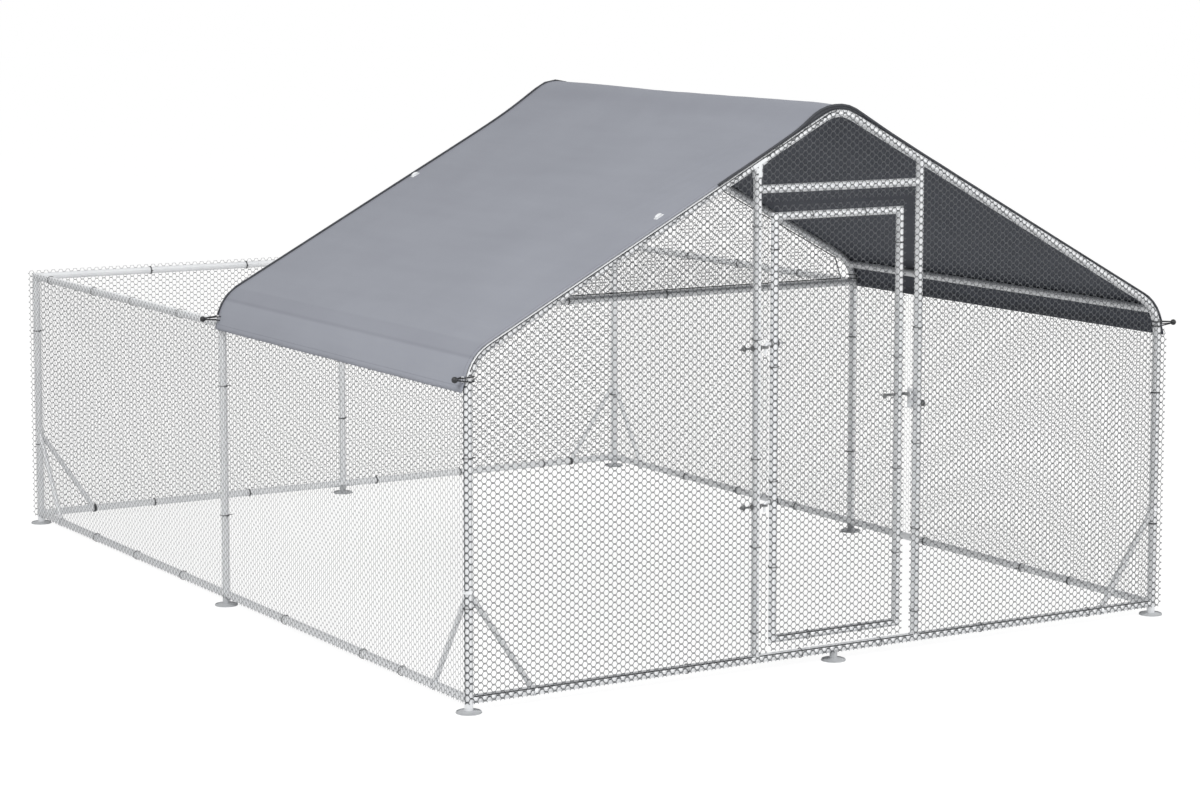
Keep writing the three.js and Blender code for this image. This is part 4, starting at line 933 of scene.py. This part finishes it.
# %% The tape under the bulge
TAPE_START, TAPE_LENGTH, TAPE_STEPS = -0.40, 0.50, 40
TAPE_IN = 0.0135
stations = [TAPE_START + TAPE_LENGTH * step / TAPE_STEPS for step in range(TAPE_STEPS + 1)]
bm = bmesh.new()
row = [bm.verts.new(on_edge(across, 0, 0.001)) for across in stations]
edges = [bm.edges.new(pair) for pair in zip(row, row[1:])]
grown = bmesh.ops.extrude_edge_only(bm, edges=edges)["geom"]
for vert in (part for part in grown if isinstance(part, bmesh.types.BMVert)):
    above = min(range(len(row)), key=lambda k: (row[k].co - vert.co).length_squared)
    spot, out = on_arch(stations[above], TAPE_IN)
    vert.co = (spot.x, COVER_FRONT_Y + 0.0015, spot.y)
tape = piece_of("cover_edge_tape", bm, [cover_binding], smooth=True, outward=False)
wall = tape.modifiers.new("thickness", "SOLIDIFY")
wall.thickness = 0.0012
wall.offset = 0


# %% [markdown]
# ## Clips on the cloth
# A white plastic clip bites the cloth beside each rafter, halfway down the slope. Two thin
# plates hold the cloth between them, and a rounded grip stands on the upper one. Each is a
# block or a ball, stretched and turned to the slope, and a Bevel modifier takes off the
# edges.

# %% Clips on the cloth
CLIP_PLATE, CLIP_GRIP = (0.034, 0.020, 0.0030), (0.030, 0.016, 0.013)
PLATE_OUT, GRIP_OUT = 0.0022, 0.0065
FRONT_CLIP_X, MIDDLE_CLIP_X = 0.705, 0.662
clip_places = [(side * x, y) for x, y in ((FRONT_CLIP_X, FRONT_Y + 0.060), (MIDDLE_CLIP_X, MIDDLE_Y - 0.028))
               for side in (-1, 1)]
bm = bmesh.new()
for x, y in clip_places:
    side = math.copysign(1, x)
    across = across_at(x)
    spot, out = on_arch(across)
    spot += out * cover_lift(across, y - COVER_FRONT_Y)
    down = Vector((side * math.cos(SLOPE), 0, -math.sin(SLOPE)))
    turned = Matrix((down, Y_AXIS, Vector((out.x, 0, out.y)))).transposed().to_4x4()
    for rise, size in ((PLATE_OUT, CLIP_PLATE), (-PLATE_OUT, CLIP_PLATE), (GRIP_OUT, CLIP_GRIP)):
        place = Matrix.Translation((spot.x + out.x * rise, y, spot.y + out.y * rise))
        stretch = place @ turned @ Matrix.Diagonal((*size, 1))
        if size == CLIP_PLATE:
            bmesh.ops.create_cube(bm, size=1, matrix=stretch)
        else:
            bmesh.ops.create_uvsphere(bm, u_segments=20, v_segments=12, radius=0.5, matrix=stretch)
clips = piece_of("cover_clips", bm, [white_plastic])
softened = clips.modifiers.new("softened edges", "BEVEL")
softened.width = 0.0007
softened.segments = 2


# %% [markdown]
# ## Rings, washers and clamps
# Several small fittings are flat rings: the washers at the hinges and the latch, the
# eyelets of the cover, the bands of the clamps and the raised rim of each foot. One helper
# spins a rectangle once round its axis. The nuts are short cones of six sides.

# %% A flat ring
def flat_ring(bm, centre, axis, inner, outer, width, steps=24):
    """A ring round axis at centre, from the inner to the outer radius."""
    across = axis.orthogonal().normalized()
    section = [centre + across * r + axis * t * width
               for r, t in ((inner, -0.5), (outer, -0.5), (outer, 0.5), (inner, 0.5))]
    verts = [bm.verts.new(spot) for spot in section]
    edges = [bm.edges.new(pair) for pair in zip(verts, verts[1:] + verts[:1])]
    bmesh.ops.spin(bm, geom=verts + edges, cent=centre, axis=axis, angle=math.tau, steps=steps,
                   use_merge=True)


def bolt_head(bm, centre, axis, across_flats, height):
    """A hexagon head whose foot stands at centre."""
    turned = Z_AXIS.rotation_difference(axis).to_matrix().to_4x4()
    matrix = Matrix.Translation(centre + axis * height / 2) @ turned
    radius = across_flats / math.sqrt(3)
    bmesh.ops.create_cone(bm, cap_ends=True, segments=6, radius1=radius, radius2=radius * 0.94,
                          depth=height, matrix=matrix)


# %% Clamps of the corner braces
BRACE_TOP, BRACE_REACH = 0.410, 0.250
CLAMP_R = TUBE_R + 0.0030
CLAMP_WALL, CLAMP_WIDTH = 0.0014, 0.012
HEAD_FLATS, HEAD_HEIGHT, HEAD_SUNK = 0.009, 0.004, 0.0006
for end_y, word in ((FRONT_Y, "front"), (BACK_Y, "back")):
    inward_y = -math.copysign(1, end_y)
    bright, dark = bmesh.new(), bmesh.new()
    for side in (-1, 1):
        # The lower clamps at the back are black, partly for their dark bolt heads and partly as painted
        # shadow at those joints.
        lower = dark if word == "back" else bright
        x = side * HALF_WIDTH
        diagonal = Vector((-side, inward_y, 0)).normalized()
        spots = [(bright, (x, end_y, BRACE_TOP), Z_AXIS, diagonal),
                 (lower, (x - side * BRACE_REACH, end_y, SILL_Z), X_AXIS, Y_AXIS * inward_y),
                 (bright, (x, end_y + inward_y * BRACE_REACH, SILL_Z), Y_AXIS, X_AXIS * -side)]
        for bm, place, axis, inward in spots:
            flat_ring(bm, Vector(place), axis, CLAMP_R - CLAMP_WALL, CLAMP_R, CLAMP_WIDTH)
            head = Vector(place) + inward * (CLAMP_R - HEAD_SUNK)
            bolt_head(bm, head, inward, HEAD_FLATS, HEAD_HEIGHT)
    piece_of(f"{word}_brace_clamps", bright, [galvanised])
    if dark.verts:
        piece_of(f"{word}_black_clamps_and_shadow", dark, [black_clamp_and_shadow_finish])

# %% Washers of the hinges and the latch
SHANK_RISE, DISC_RISE = 0.0123, 0.0053
HOLE_R, WASHER_WIDTH, WASHER_OFF = 0.0042, 0.0018, 0.0012
POST_WASHER_R, KEEPER_WASHER_R, LEAF_WASHER_R = 0.0105, 0.0125, 0.0115
DISC_HOLE_R, DISC_R, DISC_WIDTH = 0.0070, 0.0125, 0.0016
NUT_FLATS, NUT_HEIGHT = 0.014, 0.0065
EYE_NUT_X, KEEPER_NUT_X, NUT_WASHER_OFF = -0.3915, 0.3850, 0.0010
bm = bmesh.new()
for z in HINGE_HEIGHTS:
    for x in (LEFT_JAMB_X - TUBE_R - WASHER_OFF, LEFT_JAMB_X + TUBE_R + WASHER_OFF,
              EYE_NUT_X + NUT_WASHER_OFF):
        flat_ring(bm, Vector((x, FRONT_Y, z)), X_AXIS, HOLE_R, POST_WASHER_R, WASHER_WIDTH)
    bolt_head(bm, Vector((EYE_NUT_X, FRONT_Y, z)), -X_AXIS, NUT_FLATS, NUT_HEIGHT)
keeper_bolt_z = LATCH_Z - 0.040
for x in (RIGHT_JAMB_X + TUBE_R + WASHER_OFF, KEEPER_NUT_X - NUT_WASHER_OFF):
    flat_ring(bm, Vector((x, FRONT_Y, keeper_bolt_z)), X_AXIS, HOLE_R, KEEPER_WASHER_R, WASHER_WIDTH)
bolt_head(bm, Vector((KEEPER_NUT_X, FRONT_Y, keeper_bolt_z)), X_AXIS, NUT_FLATS, NUT_HEIGHT)
piece_of("post_washers_and_nuts", bm, [plated])
bm = bmesh.new()
for z in HINGE_HEIGHTS:
    for x in (LEFT_STILE_X - LEAF_TUBE_R - WASHER_OFF, LEFT_STILE_X + LEAF_TUBE_R + WASHER_OFF):
        flat_ring(bm, Vector((x, FRONT_Y, z + SHANK_RISE)), X_AXIS, HOLE_R, LEAF_WASHER_R, WASHER_WIDTH)
    flat_ring(bm, Vector((HINGE_X, FRONT_Y, z + DISC_RISE)), Z_AXIS, DISC_HOLE_R, DISC_R, DISC_WIDTH)
piece_of("leaf_washers", bm, [plated], "door")

# %% Rims of the feet
RIM_INNER, RIM_OUTER, RIM_HEIGHT, RIM_Z = 0.0400, 0.0432, 0.0032, 0.0046
bm = bmesh.new()
for name in frame["nodes"]:
    if name.endswith("_foot"):
        low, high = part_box(name)
        centre = Vector(((low[0] + high[0]) / 2, (low[1] + high[1]) / 2, RIM_Z))
        flat_ring(bm, centre, Z_AXIS, RIM_INNER, RIM_OUTER, RIM_HEIGHT, 36)
rims = piece_of("foot_rims", bm, [foot_plastic_and_shade])
rounded = rims.modifiers.new("rounded rim", "BEVEL")
rounded.width = 0.0009
rounded.segments = 2

# %% [markdown]
# ## Elastic ties at the cover's corners
# Each corner of the cover is held by a doubled loop of elastic round the post. Its two
# strands lie one over the other, come together at the eyelet and end in a ball, which
# stands out sideways. The cord follows the loop in one closed path: the upper strand goes
# round the post from the front, and the lower one comes back the same way.

# %% Elastic ties
TIE_Z = 1.124
CORD_R = 0.0022
LOOP_R = TUBE_R + 0.0050
STRANDS_APART, STRANDS_TOGETHER = 0.0080, 0.0026
STRAND_SIDE, TIP_BACK = 0.0024, 0.006
BALL_R = 0.011
REACH, SHORT_REACH = 0.084, 0.050
RUN_SHARES = (1.0, 0.7, 0.35)
EYELET_OUT, EYELET_INNER, EYELET_OUTER, EYELET_WIDTH = 0.0165, 0.0075, 0.0120, 0.0022


def along_cord(piece, path):
    """A UV map that runs along a cord and round it."""
    layer = piece.data.uv_layers.new(name="along_cord")
    lengths = [0.0]
    for here, after in zip(path, path[1:]):
        lengths.append(lengths[-1] + (after - here).length)
    for loop in piece.data.loops:
        place = piece.data.vertices[loop.vertex_index].co
        near = min(range(len(path)), key=lambda k: (path[k] - place).length_squared)
        offset = place - path[near]
        layer.data[loop.index].uv = (lengths[near] * 60, math.atan2(offset.z, offset.y) * 0.2)


tilt = math.asin((TIE_Z - ELBOW_FOOT) / ELBOW_R)
post_x = HALF_WIDTH - ELBOW_R * (1 - math.cos(tilt))
eyelets = bmesh.new()
for corner, side, y, reach in (("front_left", -1, FRONT_Y, SHORT_REACH), ("front_right", 1, FRONT_Y, REACH),
                               ("middle_left", -1, MIDDLE_Y, REACH), ("middle_right", 1, MIDDLE_Y, REACH)):
    centre = Vector((side * post_x, y, TIE_Z))
    tip = side * (reach - TIP_BACK)
    run = [(tip * share, LOOP_R * (1 - share) + STRAND_SIDE * share,
            STRANDS_APART + (STRANDS_TOGETHER - STRANDS_APART) * share) for share in RUN_SHARES]
    upper = [Vector((x, -wide, rise)) for x, wide, rise in run]
    for step in range(13):
        angle = -math.pi / 2 + math.pi * step / 12
        upper.append(Vector((-side * LOOP_R * math.cos(angle), LOOP_R * math.sin(angle), STRANDS_APART)))
    upper += [Vector((x, wide, rise)) for x, wide, rise in reversed(run)]
    lower = [Vector((spot.x, spot.y, -spot.z)) for spot in reversed(upper)]
    path = [centre + spot for spot in upper + lower]
    bm = bmesh.new()
    wire_along(bm, path, CORD_R, 10, closed=True)
    tie = piece_of(f"{corner}_elastic", bm, [elastic], smooth=True)
    along_cord(tie, path)
    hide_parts(f"{corner}_tie")
    bm = bmesh.new()
    bmesh.ops.create_uvsphere(bm, u_segments=24, v_segments=16, radius=BALL_R)
    bmesh.ops.translate(bm, verts=bm.verts, vec=centre + Vector((side * reach, 0, 0)))
    piece_of(f"{corner}_ball", bm, [black_plastic], smooth=True)
    eyelet = Vector((side * (HALF_WIDTH + EYELET_OUT), y + 0.002, TIE_Z - 0.001))
    flat_ring(eyelets, eyelet, X_AXIS, EYELET_INNER, EYELET_OUTER, EYELET_WIDTH)
piece_of("cover_eyelets", eyelets, [galvanised])

# %% [markdown]
# ## The floor
# The floor goes in last, because it is not part of the pen. A wide plane is enough. To the
# camera most of it is a plain white light and the rest a matt surface, so that the shadow
# of the pen stays visible but soft, and far away it meets the white of the world.

# %% The floor
FLOOR_REACH = 60
FLOOR_SHADE = 0.90
PLAIN_SHARE = 0.80
bm = bmesh.new()
bmesh.ops.create_grid(bm, x_segments=1, y_segments=1, size=FLOOR_REACH)
mesh = bpy.data.meshes.new("floor")
bm.to_mesh(mesh)
bm.free()
floor = bpy.data.objects.new("floor", mesh)
scene.collection.objects.link(floor)
matt = Finish("studio_floor", (FLOOR_SHADE, FLOOR_SHADE, FLOOR_SHADE), 1.0, specular=0.0)
mesh.materials.append(matt.material)
far_floor = FLOOR_SHADE * WORLD_LIGHT
plain = (1 - (1 - PLAIN_SHARE) * far_floor) / PLAIN_SHARE
glow = matt.node("ShaderNodeEmission", None, {"Color": (1, 1, 1, 1), "Strength": plain})
camera_ray = matt.node("ShaderNodeLightPath", output="Is Camera Ray")
glossy_ray = matt.node("ShaderNodeLightPath", output="Is Glossy Ray")
share = camera_ray.math("MAXIMUM", glossy_ray) * PLAIN_SHARE
mixed = matt.node("ShaderNodeMixShader", None, {0: share, 1: Reading(matt, matt.shader.outputs[0]), 2: glow})
matt.feed(matt.tree.nodes["Material Output"].inputs["Surface"], mixed)
print("floor glow", round(plain, 3))
